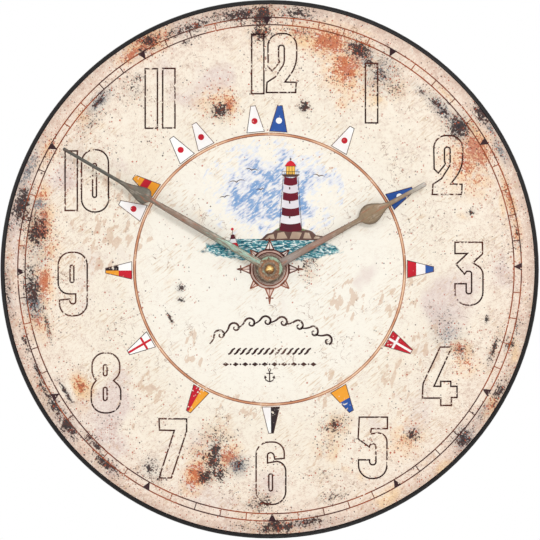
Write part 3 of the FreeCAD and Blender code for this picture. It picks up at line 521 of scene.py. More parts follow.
@dataclass(frozen=True)
class AgedPaint:
    """The paper's aged ground: cream inside, pinker and browner to the rim, and stained all over."""

    grounds: Stops = (
        (0, "f8f4e9"), (0.44, "f9f3e6"), (0.6, "f6ecdb"), (0.8, "f7ead8"), (0.9, "f3e2d0"),
        (0.965, "edd5c3"), (1, "d0b5a4"),
    )
    mauve: Tint = "e2cfc8"
    warm: Tint = "f6d09c"
    tan: Tint = "d4b296"
    stroke: Tint = "d6ba9a"
    dusk: Tint = "c4a492"
    light: Tint = "fcf5e6"
    scribble: Tint = "96705c"
    smudge: Tint = "705c5a"
    soot: Tint = "1c1418"
    soot_brown: Tint = "543026"
    halo: Tint = "f6cc92"
    rust_wash: Tint = "f0b67c"
    rust: Tint = "c46032"
    haze: Tint = "acb2b6"
    slate: Tint = "68727a"
    rust_dot: Tint = "b45436"
    dark_dot: Tint = "4a3436"
    grime: tuple[Numbers, ...] = (
        (6.1, 172, 8.9, 9.5, 75, 10, 30), (358.5, 171, 5.1, 11.4, 100, 50, 20),
        (353.6, 171, 12.7, 9.5, 90, 15, 50), (357.8, 168, 3.2, 15.2, 100, 20, 10),
        (357.7, 158, 4.8, 11.4, 85, 50, 10), (342, 170, 12.8, 7.6, 80, 10, 50),
        (332, 172, 7.6, 13.3, 75, 90, 10), (327.8, 171, 5.7, 7.6, 20, 90),
        (340.1, 161, 2.7, 3.4, 80, 0, 10), (342.6, 111, 5.9, 11.4, 90, 50, 30),
        (346.4, 113, 4.8, 15.2, 30, 90), (342.2, 119, 9.1, 15.2, 10, 55),
        (7.6, 160, 9.5, 9.5, 50, 65, 10), (14.7, 157, 9.7, 17.1, 30, 100, 10),
        (22.2, 158, 6.2, 11.4, 100, 70, 30), (25.4, 154, 5.7, 11.4, 60, 60, 70),
        (20.8, 144, 9.1, 22.8, 20, 95), (23.9, 136, 9.6, 19, 10, 60),
        (29.3, 151, 7.2, 22.8, 60, 30, 70), (34.6, 147, 5.2, 11.4, 60, 40, 20),
        (29.5, 141, 4.6, 15.2, 40, 50, 10), (40.8, 156, 4.9, 4.6, 60, 0, 50),
        (46.9, 157, 8.3, 7.6, 85, 10, 80), (53.1, 158, 6.2, 13.3, 100, 30, 80),
        (53.8, 176, 4.9, 9.5, 100, 10, 40), (57.3, 175, 3.7, 5.7, 60, 20, 70),
        (62.7, 173, 5.7, 5.7, 50, 10, 80), (60, 159, 8.2, 19, 15, 100, 40),
        (61.7, 148, 9.6, 22.8, 10, 75), (66.1, 150, 7.3, 19, 0, 60), (74.1, 167, 11, 4.6, 45, 80),
        (82.3, 167, 7.8, 3.8, 50, 70), (74.3, 140, 1.9, 4.8, 80), (110.5, 127, 6.9, 17.1, 40, 10, 65),
        (105.7, 120, 5.4, 15.2, 30, 0, 35), (112.9, 138, 3.9, 11.4, 60, 85),
        (115.7, 145, 4.5, 15.2, 10, 60), (109.6, 159, 8.2, 4.9, 80, 30, 10), (102.9, 149, 2.2, 3, 90),
        (107, 168, 3.9, 7.6, 75, 10, 30), (103.3, 170, 3.8, 5.7, 60, 10, 30),
        (117.9, 174, 7.5, 7.6, 75, 15, 40), (121.4, 174, 4.4, 7.6, 30, 70),
        (123.8, 171, 5.7, 5.7, 60, 0, 50), (131, 172, 4.4, 11.4, 95, 10, 90),
        (127.4, 172, 5.1, 3.8, 50, 0, 30), (139.3, 146, 3.7, 7.6, 90, 60, 10),
        (141.4, 145, 7.5, 17.1, 10, 60), (157.2, 113, 7.7, 11.4, 75, 60, 10),
        (161.9, 124, 7, 11.4, 45, 40), (165, 158, 7.6, 5.7, 60, 10, 10), (165.3, 141, 7, 7.6, 40, 10),
        (172.3, 171, 10.8, 6.6, 85, 10, 40), (178.6, 172, 7.6, 9.5, 100, 40, 20),
        (181.6, 156, 4.9, 13.3, 75, 20, 10), (185.5, 173, 8.2, 5.7, 50, 10, 20),
        (196.8, 126, 3.4, 11.4, 100, 30, 20), (196.4, 134, 4.1, 11.4, 100, 20, 20),
        (197.1, 145, 3.8, 9.5, 100, 30), (193.7, 140, 4.7, 11.4, 80, 10, 40),
        (199.7, 146, 4.5, 19, 20, 100), (192.2, 129, 5.9, 15.2, 40, 90, 20),
        (189.2, 133, 4.9, 11.4, 70, 10, 100), (197.4, 118, 7.4, 17.1, 55, 45, 10),
        (198.8, 132, 7.4, 15.2, 50, 60, 10), (211.1, 155, 3.5, 11.4, 75, 0, 40),
        (208.1, 159, 2.7, 7.6, 60, 0, 10), (185, 158, 4.1, 5.7, 60, 0, 10),
        (225.5, 165, 5.3, 5.7, 85, 10, 20), (220.1, 170, 7, 6.6, 100, 20, 40),
        (232.3, 171, 5.7, 8.5, 100, 10, 30), (237.9, 170, 9, 7.6, 80, 10, 60),
        (242.1, 171, 5.1, 6.6, 70, 40, 10), (238.9, 159, 5.5, 3, 95, 0, 50),
        (238.5, 148, 5.1, 7.6, 45, 90), (234.6, 153, 3.6, 9.5, 10, 40, 20),
        (245.8, 169, 7.7, 3.8, 85, 0, 40), (253.2, 170, 6.4, 3.8, 75, 10, 20),
        (264.8, 159, 10.3, 9.5, 95, 20, 70), (261.4, 159, 6.2, 11.4, 40, 10, 100),
        (266.3, 151, 9.4, 9.5, 20, 95), (256.5, 153, 9.2, 3, 80, 10),
        (257.4, 158, 7.6, 11.4, 10, 65, 30), (264.9, 175, 10.6, 5.7, 60, 10, 30),
        (279.4, 158, 7.6, 13.3, 100, 60, 30), (280.2, 154, 5.7, 9.5, 30, 100),
        (284.6, 171, 7.6, 9.5, 100, 10, 70), (282.3, 165, 4.6, 15.2, 75, 30, 30),
        (285.6, 160, 2.7, 9.5, 10, 10, 100), (288.1, 160, 4.7, 7.6, 0, 75, 10),
        (283.7, 155, 4.2, 11.4, 20, 80, 10), (281.6, 175, 8.7, 5.7, 65, 10, 30),
        (291.8, 174, 10, 7.6, 40, 10, 80), (274.8, 149, 8.8, 13.3, 10, 60, 10),
        (273.1, 155, 9.8, 13.3, 35, 20, 50), (314.7, 160, 6.1, 7.6, 75, 10, 95),
        (311.2, 159, 3.4, 5.7, 60, 10, 40), (310, 154, 6.4, 5.7, 70, 10),
        (309.2, 160, 2.7, 7.6, 40, 60), (322.5, 149, 5.1, 17.1, 45, 10, 10), (325.6, 155, 2.1, 5.7, 75),
        (298.8, 168, 3.9, 9.5, 30, 60), (257.8, 61, 4.4, 5.7, 90), (251.3, 63, 3.4, 4.8, 75),
        (242.9, 74, 8.8, 2.3, 80, 10), (12.3, 111, 3.9, 7.6, 95, 10), (23.6, 121, 2.7, 7.6, 0, 55),
        (81.7, 26, 37.7, 11.4, 60, 40, 10),
    )
    tints: tuple[Numbers, ...] = (
        (341.2, 132, 20.6, 23.8, 80, 0, 10), (265, 126, 23, 23.8, 80, 0, 20),
        (100.1, 120, 28.1, 30.8, 65, 0, 10), (180.9, 148, 29.7, 25.2, 55, 0, 10),
        (132.8, 125, 19.3, 28, 50, 0, 30), (38.5, 168, 12.4, 22.4, 70, 0, 10),
        (88.4, 156, 17.4, 14, 70, 0, 10), (220.9, 152, 17.9, 19.6, 80, 0, 20),
        (298.7, 152, 18, 19.6, 70, 0, 30), (22.5, 135, 10.1, 21, 0, 100, 10),
        (31.8, 135, 8.9, 12.6, 0, 90), (67.9, 154, 9.4, 12.6, 0, 80, 10),
        (77.1, 161, 12.9, 5.6, 0, 90, 10), (162.9, 131, 11, 25.2, 0, 85, 30),
        (141.2, 145, 8.3, 16.8, 0, 80, 10), (110.4, 114, 7, 12.6, 0, 50, 80),
        (238.6, 151, 9.6, 18.2, 0, 95, 10), (310.2, 147, 8.2, 14, 0, 80),
        (8.9, 154, 7.3, 9.8, 0, 70, 20), (191.8, 130, 5.6, 12.6, 0, 70, 20),
        (121.6, 174, 4.6, 7, 0, 90, 20), (106.4, 171, 3.3, 5.6, 0, 80, 30),
        (159.2, 144, 12.2, 22.4, 0, 55), (293.7, 115, 6.3, 8.4, 0, 10, 90),
        (284.1, 112, 9.3, 8.4, 0, 10, 100), (276.8, 116, 8.3, 11.2, 0, 10, 90),
        (225.3, 115, 8.4, 14, 0, 10, 100), (112.3, 55, 20.3, 19.6, 0, 0, 90),
        (225.8, 73, 13.1, 12.6, 0, 0, 80), (96.5, 97, 7.5, 12.6, 0, 0, 80),
        (130.9, 106, 9.1, 12.6, 0, 20, 90), (191.6, 95, 13.5, 11.2, 0, 0, 60),
        (135, 191, 16.8, 8.4, 20, 20, 80), (274.2, 170, 33.1, 12.6, 80, 0, 50),
        (329, 180, 26.7, 11.2, 50, 30, 40), (180.1, 175, 32.1, 11.2, 50, 10, 70),
        (45.1, 166, 16.4, 5.6, 0, 100), (55, 165, 13.6, 5.6, 0, 100), (64.5, 166, 11.6, 5.6, 0, 90),
        (75, 165, 10.7, 4.2, 0, 80), (207.2, 152, 20.1, 33.6, 75, 0, 10),
        (193, 159, 20.2, 19.6, 60, 0, 20), (297.9, 113, 7.1, 36.4, 0, 10, 90),
        (282.1, 107, 9, 33.6, 0, 10, 100), (272.2, 118, 6.8, 22.4, 0, 0, 90),
        (153.5, 92, 13.9, 16.8, 0, 10, 80), (109.5, 173, 15.8, 8.4, 0, 80, 40),
        (124.2, 174, 15.6, 8.4, 0, 80, 40), (354.9, 140, 11.4, 7, 0, 80),
        (229.6, 131, 18.4, 42, 70, 0, 10), (140, 174, 13.8, 19.6, 0, 75, 40),
        (153.3, 174, 13.9, 14, 0, 70, 30), (118.3, 115, 11.1, 30.8, 0, 50, 70),
        (104, 87, 11, 22.4, 0, 20, 80),
    )

    @cache
    def group(self) -> NodeTree:
        """Builds the shared group of the painted ground from its coats, the lowest first.

        Returns:
            The group's tree.
        """
        takes = "Flat:Vector Polar:Vector Sweep:Vector"
        coats = PaintCoats(self, Graph.group("aged paper", takes, "Color:Color Relief:Float"))
        for lay in (coats.clouds, coats.mottle, coats.brush_marks, coats.rust_over, coats.slate_over,
                    coats.soot_over, coats.dots):
            lay()
        return coats.flat.graph.give(Color=coats.colour, Relief=coats.flat.noise(1.3))


class PaintCoats:
    """The aged ground while it is painted, coat over coat."""

    def __init__(self, paint: AgedPaint, graph: Graph) -> None:
        """Starts with the bare paper, and works out where the stains lie.

        Args:
            paint: The stains and tints.
            graph: The group's nodes.
        """
        self.paint = paint
        self.flat = graph.source["Flat"]
        self.sweep = graph.source["Sweep"]
        radius = graph.source["Polar"].parts()[1]
        self.outer = radius.rise(50, 172)
        self.soot, self.rust, self.slate = coats_of(graph, self.flat, paint.grime)
        self.mauve, self.warm, self.tan = coats_of(graph, self.flat, paint.tints)
        self.colour = (radius / PAPER_RADIUS).ramp(paint.grounds)

    def _lay(self, tint: Tint, first: Wire, *shares: Value) -> None:
        """Lays a tint over the colour so far, by the product of some shares."""
        self.colour = math.prod(shares, start=first).mix(self.colour, tint)

    def _bent(self, coat: Wire, power: float, top: float = 1, least: float = 0) -> Wire:
        """Bends a coat by a power, and scales it between a least and a greatest share."""
        return coat.math("POWER", power).math("MULTIPLY_ADD", top - least, least)

    def _patches(self, height: Wire, coat: Wire, bare: float, pull: float, soft: float) -> Wire:
        """Gives ragged patches of a noise above a bare height, which a full coat pulls down."""
        edge = coat.math("MULTIPLY_ADD", -pull, bare)
        return height.rise(edge, edge + soft)

    def _moved(self, shift: float) -> Wire:
        """Gives the place on the dial moved along, so that patterns differ."""
        return self.flat.vector("ADD", (shift, -shift, shift))

    def clouds(self) -> None:
        """Lays broad mauve and warm clouds and ragged tan patches, mostly where the tints say."""
        drift = self.flat.noise(0.024, 4, 0.5)
        self._lay(self.paint.mauve, self._patches(drift, self.mauve, 0.61, 0.32, 0.2), 0.85)
        glowing = self._moved(340).noise(0.035, 4, 0.5)
        self._lay(self.paint.warm, self._patches(glowing, self.warm, 0.67, 0.33, 0.2), 0.75)
        ragged = self.flat.strokes(68, 9, 4.4, 4)
        self._lay(self.paint.tan, self._patches(ragged, self._bent(self.tan, 0.6), 0.7, 0.24, 0.03), 0.6)

    def mottle(self) -> None:
        """Breaks the ground into small darker and lighter touches, stronger to the rim."""
        height = self.flat.noise(1.5) * 0.4 + self.flat.noise(0.5, 2, 0.4) * 0.32
        height = height + self.flat.noise(0.13, 3, 0.6) * 0.28
        self._lay(self.paint.dusk, height.rise(0.49, 0.62), self._bent(self.outer, 1, 0.62, 0.14))
        self._lay(self.paint.light, height.rise(0.5, 0.4), self.outer, 0.55)

    def brush_marks(self) -> None:
        """Lays faint marks: slanted strokes and curling hairlines."""
        marks = self.flat.strokes(38, 7, 1.1).rise(0.53, 0.66, 0.62)
        self._lay(self.paint.stroke, marks, self.flat.noise(0.035).rise(0.47, 0.6))
        hairline = (self.flat.noise(0.12, 4, 0.5) - 0.5).math("ABSOLUTE").rise(0.012, 0.003)
        self._lay(self.paint.scribble, hairline, self._moved(90).noise(0.05).rise(0.57, 0.64, 0.7))

    def _marks(self, coat: Wire, shift: float, softness: float) -> Wire:
        """Breaks a coat into dry marks: single flecks at its edge, and nearly solid at its core.

        Args:
            coat: How much of the coat there is.
            shift: How far the marks' pattern is moved.
            softness: How soft the marks' edges are.

        Returns:
            Where the marks are.
        """
        moved = self._moved(shift)
        run = self.sweep.vector("ADD", (shift, shift, shift)).vector("MULTIPLY", (0.2, 0.2, 0.9))
        ways = moved.strokes(60, 5, 1.05).math("MAXIMUM", moved.strokes(-40, 4.6, 1))
        height = moved.noise(0.85) * 0.3 + ways.math("MAXIMUM", run.noise(1)) * 0.46
        height = height + moved.noise(0.25, 3, 0.8) * 0.24
        return self._patches(height, self._bent(coat, 0.86), 0.71, 0.31, softness)

    def rust_over(self) -> None:
        """Washes a yellow halo and rust over the rusty places, and flecks them."""
        cloud = self._moved(7).noise(0.2, 4, 0.4).rise(0.3, 0.6)
        self._lay(self.paint.halo, self._bent(self.rust, 0.9, 0.75), cloud)
        self._lay(self.paint.rust_wash, self._bent(self.rust, 1.8, 0.9), cloud)
        self._lay(self.paint.rust, self._marks(self.rust, 47, 0.06), 0.85)

    def slate_over(self) -> None:
        """Hazes and flecks the slate grey places."""
        self._lay(self.paint.haze, self._bent(self.slate, 1.2, 0.6))
        self._lay(self.paint.slate, self._marks(self.slate, 11, 0.08), 0.8)

    def soot_over(self) -> None:
        """Smudges the sooty places, then flecks them with soot that is black at the core."""
        cloud = self.flat.noise(0.22, 4, 0.5).rise(0.32, 0.58)
        self._lay(self.paint.smudge, self._bent(self.soot, 1.5, 0.62), cloud)
        flecks = self._marks(self.soot, 83, 0.05)
        self._lay(self.paint.soot, flecks, 0.95)
        self._lay(self.paint.soot_brown, flecks, self.flat.noise(0.4).rise(0.46, 0.62), 0.75)

    def dots(self) -> None:
        """Spatters fine dots, thickly round the stains and to the rim, and thinly elsewhere."""
        rust = (self.rust, self.paint.rust_dot)
        soot = (self.soot, self.paint.dark_dot)
        for per_mm, size, thick, (coat, tint) in (
            (0.72, 0.46, 0.065, rust), (0.76, 0.46, 0.05, soot), (0.42, 0.34, 0.02, soot),
            (0.36, 0.32, 0.02, rust), (0.2, 0.2, 0.05, rust),
        ):
            distance, colours = self.flat.cells(per_mm)
            chance, scale, strength = colours.parts()
            clusters = self._moved(per_mm * 31).noise(0.06, 3).rise(0.36, 0.66, thick * 2.4)
            density = self._bent(coat, 0.8, 0.5) + clusters * self._bent(self.outer, 1, 1, 0.25)
            inside = ((scale + 0.5) * (size / 1.5) - distance).rise(0, 0.12)
            self._lay(tint, inside, (density - chance).rise(0, 0.01), strength * 0.5 + 0.5)


PAINT = AgedPaint()


@dataclass(frozen=True)
class PaperFinish(Finish):
    """The dial's printed paper under a matt varnish."""

    name: str = "aged dial paper"

    def paint(self, surface: Surface) -> None:
        """Lays the painted ground on the paper."""
        colour, relief, _ = surface.on_paper()
        surface.cover(colour, MATT, relief, 0.01, specular=0.3)


@dataclass(frozen=True)
class InkFinish(Finish):
    """Printed ink that has worn through to the paper in places."""

    name: str
    tint: Tint
    second: Tint
    worn: float = 0.5
    cover: float = 1.0

    def paint(self, surface: Surface) -> None:
        """Lays two tones of ink over the paper, with gaps.

        Args:
            surface: The material's nodes.
        """
        ground, _, place = surface.on_paper()
        ink = place["Flat"].noise(0.035, 3).rise(0.42, 0.6).mix(self.tint, self.second)
        worn = surface.use(Groups.print_wear(), Flat=place["Flat"], Amount=self.worn)["Worn"]
        surface.cover(((1.0 - worn) * self.cover).mix(ground, ink), MATT, specular=0.1)


class Wash(Enum):
    """What a watercolour wash shows."""

    SKY = "sky"
    SEA = "sea"


@dataclass(frozen=True)
class WashFinish(Finish):
    """A watercolour wash that fades into the paper at a ragged edge."""

    name: str
    wash: Wash
    centre: tuple[float, float]
    half_size: tuple[float, float]
    blue: Tint = "86a8d2"
    deep_blue: Tint = "709ace"
    lilac: Tint = "c8cadc"
    cloud: Tint = "e8eaf0"
    deep_sea: Tint = "144c5e"
    mid_sea: Tint = "3a8894"
    pale_sea: Tint = "96c6c6"
    foam: Tint = "f6f6f2"

    def paint(self, surface: Surface) -> None:
        """Lays the wash inside its oval.

        Args:
            surface: The material's nodes.
        """
        ground, _, place = surface.on_paper()
        away = place["Flat"].vector("SUBTRACT", (*self.centre, 0))
        far = away.vector("DIVIDE", (*self.half_size, 1)).vector("LENGTH", result="Value")
        draw = self._sky if self.wash is Wash.SKY else self._sea
        surface.cover(draw(ground, place["Flat"], far), MATT, specular=0.3)

    def _sky(self, ground: Wire, flat: Wire, far: Wire) -> Wire:
        """Breaks the blue into drifting patches with lilac edges.

        Args:
            ground: The paper's colour.
            flat: The place on the dial.
            far: The distance from the middle, 1 at the edge.

        Returns:
            The washed colour.
        """
        height = flat.noise(0.075, 4, 0.5) * 0.56 + flat.strokes(35, 4.6, 1.8, 3) * 0.44
        height = height - far.rise(0.3, 1, 0.16)
        colour = height.rise(0.36, 0.42, 0.85).mix(ground, self.cloud)
        colour = height.rise(0.425, 0.475, 0.7).mix(colour, self.lilac)
        colour = height.rise(0.475, 0.52, 0.9).mix(colour, self.blue)
        colour = height.rise(0.53, 0.58, 0.8).mix(colour, self.deep_blue)
        white = flat.vector("ADD", (60, 20, 3)).strokes(42, 3.6, 1.2, 3)
        return white.rise(0.56, 0.64, height.rise(0.38, 0.46, 0.85)).mix(colour, self.foam)

    def _sea(self, ground: Wire, flat: Wire, far: Wire) -> Wire:
        """Stacks short wave strokes from deep to foam, with what _sky takes and gives.

        Args:
            ground: The paper's colour.
            flat: The place on the dial.
            far: The distance from the middle, 1 at the edge.

        Returns:
            The washed colour.
        """
        waves = flat.vector("MULTIPLY", (0.3, 0.95, 1)).noise(0.95, 4, 1.1)
        colour = waves.rise(0.4, 0.48).mix(self.deep_sea, self.mid_sea)
        colour = waves.rise(0.52, 0.57).mix(colour, self.pale_sea)
        colour = waves.rise(0.575, 0.62).mix(colour, self.foam)
        return (far + flat.noise(0.22, 4) * 0.5).rise(1.08, 1.2).mix(colour, ground)


@dataclass(frozen=True)
class HandFinish(Finish):
    """Antiqued copper: brown metal with verdigris and copper streaks drawn along the hand, and painted shade
    along its edges.
    """

    name: str
    bearing: float
    length: float
    tones: Stops
    verdigris: Stops
    green: Tint = "96b09e"
    copper: Tint = "9e5c3e"
    pale: Tint = "b8ac9e"
    # The patina's dark mottle, and the painted shade along the blade's edges.
    dark: Tint = "463e36"

    def paint(self, surface: Surface) -> None:
        """Draws the tones out along the hand and paints shade along its edges.

        Args:
            surface: The material's nodes.
        """
        turn = (0, math.radians(self.bearing), 0)
        place = surface.position.mapped(Location=DIAL.point(), Rotation=turn, Scale=(MM, MM, MM))
        share = place.parts()[2] / self.length
        colour = share.ramp(self.tones)
        drawn = place.vector("MULTIPLY", (1, 1, 0.16))
        colour = drawn.noise(0.62, 4, 0.4).rise(0.56, 0.68, 0.6).mix(colour, self.copper)
        pale = drawn.vector("ADD", (31, 7, 5)).noise(0.9, 4, 0.4)
        colour = pale.rise(0.54, 0.68, 0.5).mix(colour, self.pale)
        fine = drawn.noise(1.1, 3, 0.3)
        edge = 0.78 - share.ramp(self.verdigris).parts()[0] * 0.42
        colour = fine.rise(edge, edge + 0.09).mix(colour, self.green)
        mottle = place.noise(0.5, 4)
        colour = mottle.rise(0.5, 0.75, 0.4).mix(colour, self.dark)
        rim = surface.wire("Attribute", output="Fac", attribute_name=RIM_ATTRIBUTE)
        # Painted shade: the dark tone is laid over the blade's edges, where the pillowed section slopes
        # away.
        colour = rim.rise(0.62, 1, 0.65).mix(colour, self.dark)
        surface.cover(colour, mottle.rise(-0.28, 1, 0.7), fine + mottle, 0.03, metallic=0.25)


@dataclass(frozen=True)
class BossFinish(Finish):
    """The hands' round bosses and the cap nut: copper in the dish, with rings of brown and a verdigris rim;
    the outer rings also carry painted shade at the rolled edges, and the nut a painted highlight.
    """

    name: str
    radius: float
    rings: Stops
    green: Tint = "98b69c"
    dark: Tint = "544236"
    pale: Tint = "c4c0ae"
    green_bearing: float = 40.0
    green_reach: float = 95.0
    green_from: float = 0.7

    def paint(self, surface: Surface) -> None:
        """Colours the rings, then lays a tint round one side: verdigris on the minute boss, a pinkish tone
        on the hour boss, and painted shade on the nut's lower side.

        Args:
            surface: The material's nodes.
        """
        flat, polar, sweep = surface.on_dial().values()
        bearing, radius, _ = polar.parts()
        out = radius + (flat.noise(0.3, 3) * 2.2 - 1.1)
        colour = (out / self.radius).ramp(self.rings)
        arcs = sweep.vector("MULTIPLY", (0.014, 0.014, 0.6)).noise(1, 4, 0.5)
        colour = arcs.rise(0.5, 0.36, 0.55).mix(colour, self.dark)
        # The tint round one side: verdigris on the minute boss, a pinkish tone on the hour boss, painted
        # shade on the lower side of the nut.
        off = (bearing - self.green_bearing).math("WRAP", 180, -180).math("ABSOLUTE")
        near = off.rise(self.green_reach, self.green_reach * 0.4)
        edge = out.rise(self.radius * self.green_from, self.radius * (self.green_from + 0.12))
        bare = 0.6 - near * edge * 0.27
        colour = arcs.rise(bare, bare + 0.08, 0.85).mix(colour, self.green)
        mottle = flat.noise(0.9, 4)
        colour = mottle.rise(0.52, 0.72, 0.36).mix(colour, self.dark)
        colour = mottle.rise(0.46, 0.34, 0.24).mix(colour, self.pale)
        surface.cover(colour, mottle.rise(-0.6, 1.2, 0.75), mottle, 0.04, metallic=0.35)


@dataclass(frozen=True)
class BoardFinish(Finish):
    """Fibreboard with black paint on its edge that laps a little way onto the raw back."""

    name: str = "painted fibreboard"
    black: Tint = "0b0607"
    scuffed: Tint = "1e1919"
    fibre: Tint = "a4825e"
    fibre_dark: Tint = "806244"
    fleck: Tint = "604832"
    overlap: float = 5.0

    def paint(self, surface: Surface) -> None:
        """Paints by how far out and how far back the point is.

        Args:
            surface: The material's nodes.
        """
        low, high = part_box("dial_board")
        flat, polar, _ = surface.on_dial().values()
        fibres = flat.noise(0.6, 4, 1.2)
        raw = fibres.rise(0.4, 0.62).mix(self.fibre, self.fibre_dark)
        flecks = flat.vector("MULTIPLY", (1, 0.35, 1)).noise(1.4, 2, 1.5)
        raw = flecks.rise(0.6, 0.68, 0.7).mix(raw, self.fleck)
        paint = flat.noise(0.35, 4).rise(0.56, 0.72, 0.5).mix(self.black, self.scuffed)
        edge = (high.x - low.x) / 2 / MM - self.overlap
        ragged = polar.parts()[1] + flat.noise(0.25, 3) * 3.0
        back = surface.position.parts()[1].rise(high.y - 0.0012, high.y - 0.0008)
        bare = (1.0 - ragged.rise(edge, edge + 1)) * back
        surface.cover(bare.mix(paint, raw), bare.rise(-1.2, 1, 0.85), fibres, 0.03, specular=0.3)


@dataclass(frozen=True)
class SleeveFinish(Finish):
    """The cell's shrink sleeve, green with a cream band at one end."""

    name: str = "cell sleeve"
    green: Tint = "245c4a"
    scuffed: Tint = "467c68"
    cream: Tint = "e2dcc8"
    band_share: float = 0.74

    def paint(self, surface: Surface) -> None:
        """Lays the band along the cell's axis.

        Args:
            surface: The material's nodes.
        """
        low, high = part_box("cell_sleeve")
        edge = low.x + (high.x - low.x) * (1 - self.band_share)
        tone, fine = surface.grain((0.3, 1, 1))
        band = surface.position.parts()[0].rise(edge - 0.0001, edge + 0.0001)
        colour = band.mix(self.cream, (tone * 0.25).mix(self.green, self.scuffed))
        surface.cover(colour, fine.rise(-0.8, 1, 0.42), fine, 0.003)


def linked(name: str, data: bpy.types.ID) -> bpy.types.Object:
    """Makes an object of some data and puts it into the scene.

    Args:
        name: The object's name.
        data: Its mesh, lamp or camera.

    Returns:
        The object.
    """
    piece = bpy.data.objects.new(name, data)
    bpy.context.scene.collection.objects.link(piece)
    return piece


def meshed(name: str, mesh: Mesh) -> bpy.types.Mesh:
    """Turns a finished bmesh into mesh data.

    Args:
        name: The data's name.
        mesh: The bmesh, which is freed.

    Returns:
        The mesh data.
    """
    data = bpy.data.meshes.new(name)
    mesh.to_mesh(data)
    mesh.free()
    return data


def add_piece(name: str, mesh: Mesh, finishes: Sequence[Finish], body: Body) -> bpy.types.Object:
    """Makes a piece of a finished mesh.

    Args:
        name: The piece's name.
        mesh: Its mesh in place, in metres.
        finishes: Its finishes in order.
        body: The body that it rides on.

    Returns:
        The piece.
    """
    data = meshed(name, mesh)
    for finish in finishes:
        data.materials.append(finish.material())
    piece = linked(name, data)
    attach(piece, body.value)
    log.info("%s: %d faces on %s", name, len(data.polygons), body.value)
    return piece


def dress(finishes: Iterable[tuple[Finish, str]]) -> None:
    """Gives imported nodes, named in one line for each finish, their finishes.

    Args:
        finishes: Each finish with the names of its nodes.
    """
    for finish, nodes in finishes:
        for node in nodes.split():
            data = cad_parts[node].data
            data.materials.clear()
            data.materials.append(finish.material())
            log.info("%s: %s", node, finish.name)


def spun(mesh: Mesh, points: list[bmesh.types.BMVert], edges: list[bmesh.types.BMEdge], steps: int) -> None:
    """Spins a profile once round the axis.

    Args:
        mesh: The mesh that it is in.
        points: The profile's points.
        edges: Its edges.
        steps: How many steps the turn has.
    """
    bmesh.ops.spin(
        mesh, geom=[*points, *edges], cent=(0, 0, 0), axis=(0, 0, 1), dvec=(0, 0, 0), angle=FULL_TURN,
        steps=steps, use_merge=True, use_duplicate=False,
    )


def grown(mesh: Mesh, edges: Sequence[bmesh.types.BMEdge]) -> tuple[list, list]:
    """Draws edges out of themselves, still in the same place.

    Args:
        mesh: The mesh that they are in.
        edges: The edges.

    Returns:
        The new points and the new edges.
    """
    made = bmesh.ops.extrude_edge_only(mesh, edges=edges)["geom"]
    points = [item for item in made if isinstance(item, bmesh.types.BMVert)]
    fresh = set(points)
    lines = [item for item in made if isinstance(item, bmesh.types.BMEdge) and set(item.verts) <= fresh]
    return points, lines


def quad(
    low: float, high: float, foot: float, top: float, x: float = 0, turn: float = 0.0
) -> Outline:
    """Gives an upright shape of four corners, from its two heights and its half width at each."""
    return ((x - foot, low, turn), (x + foot, low, turn), (x + top, high, turn), (x - top, high, turn))


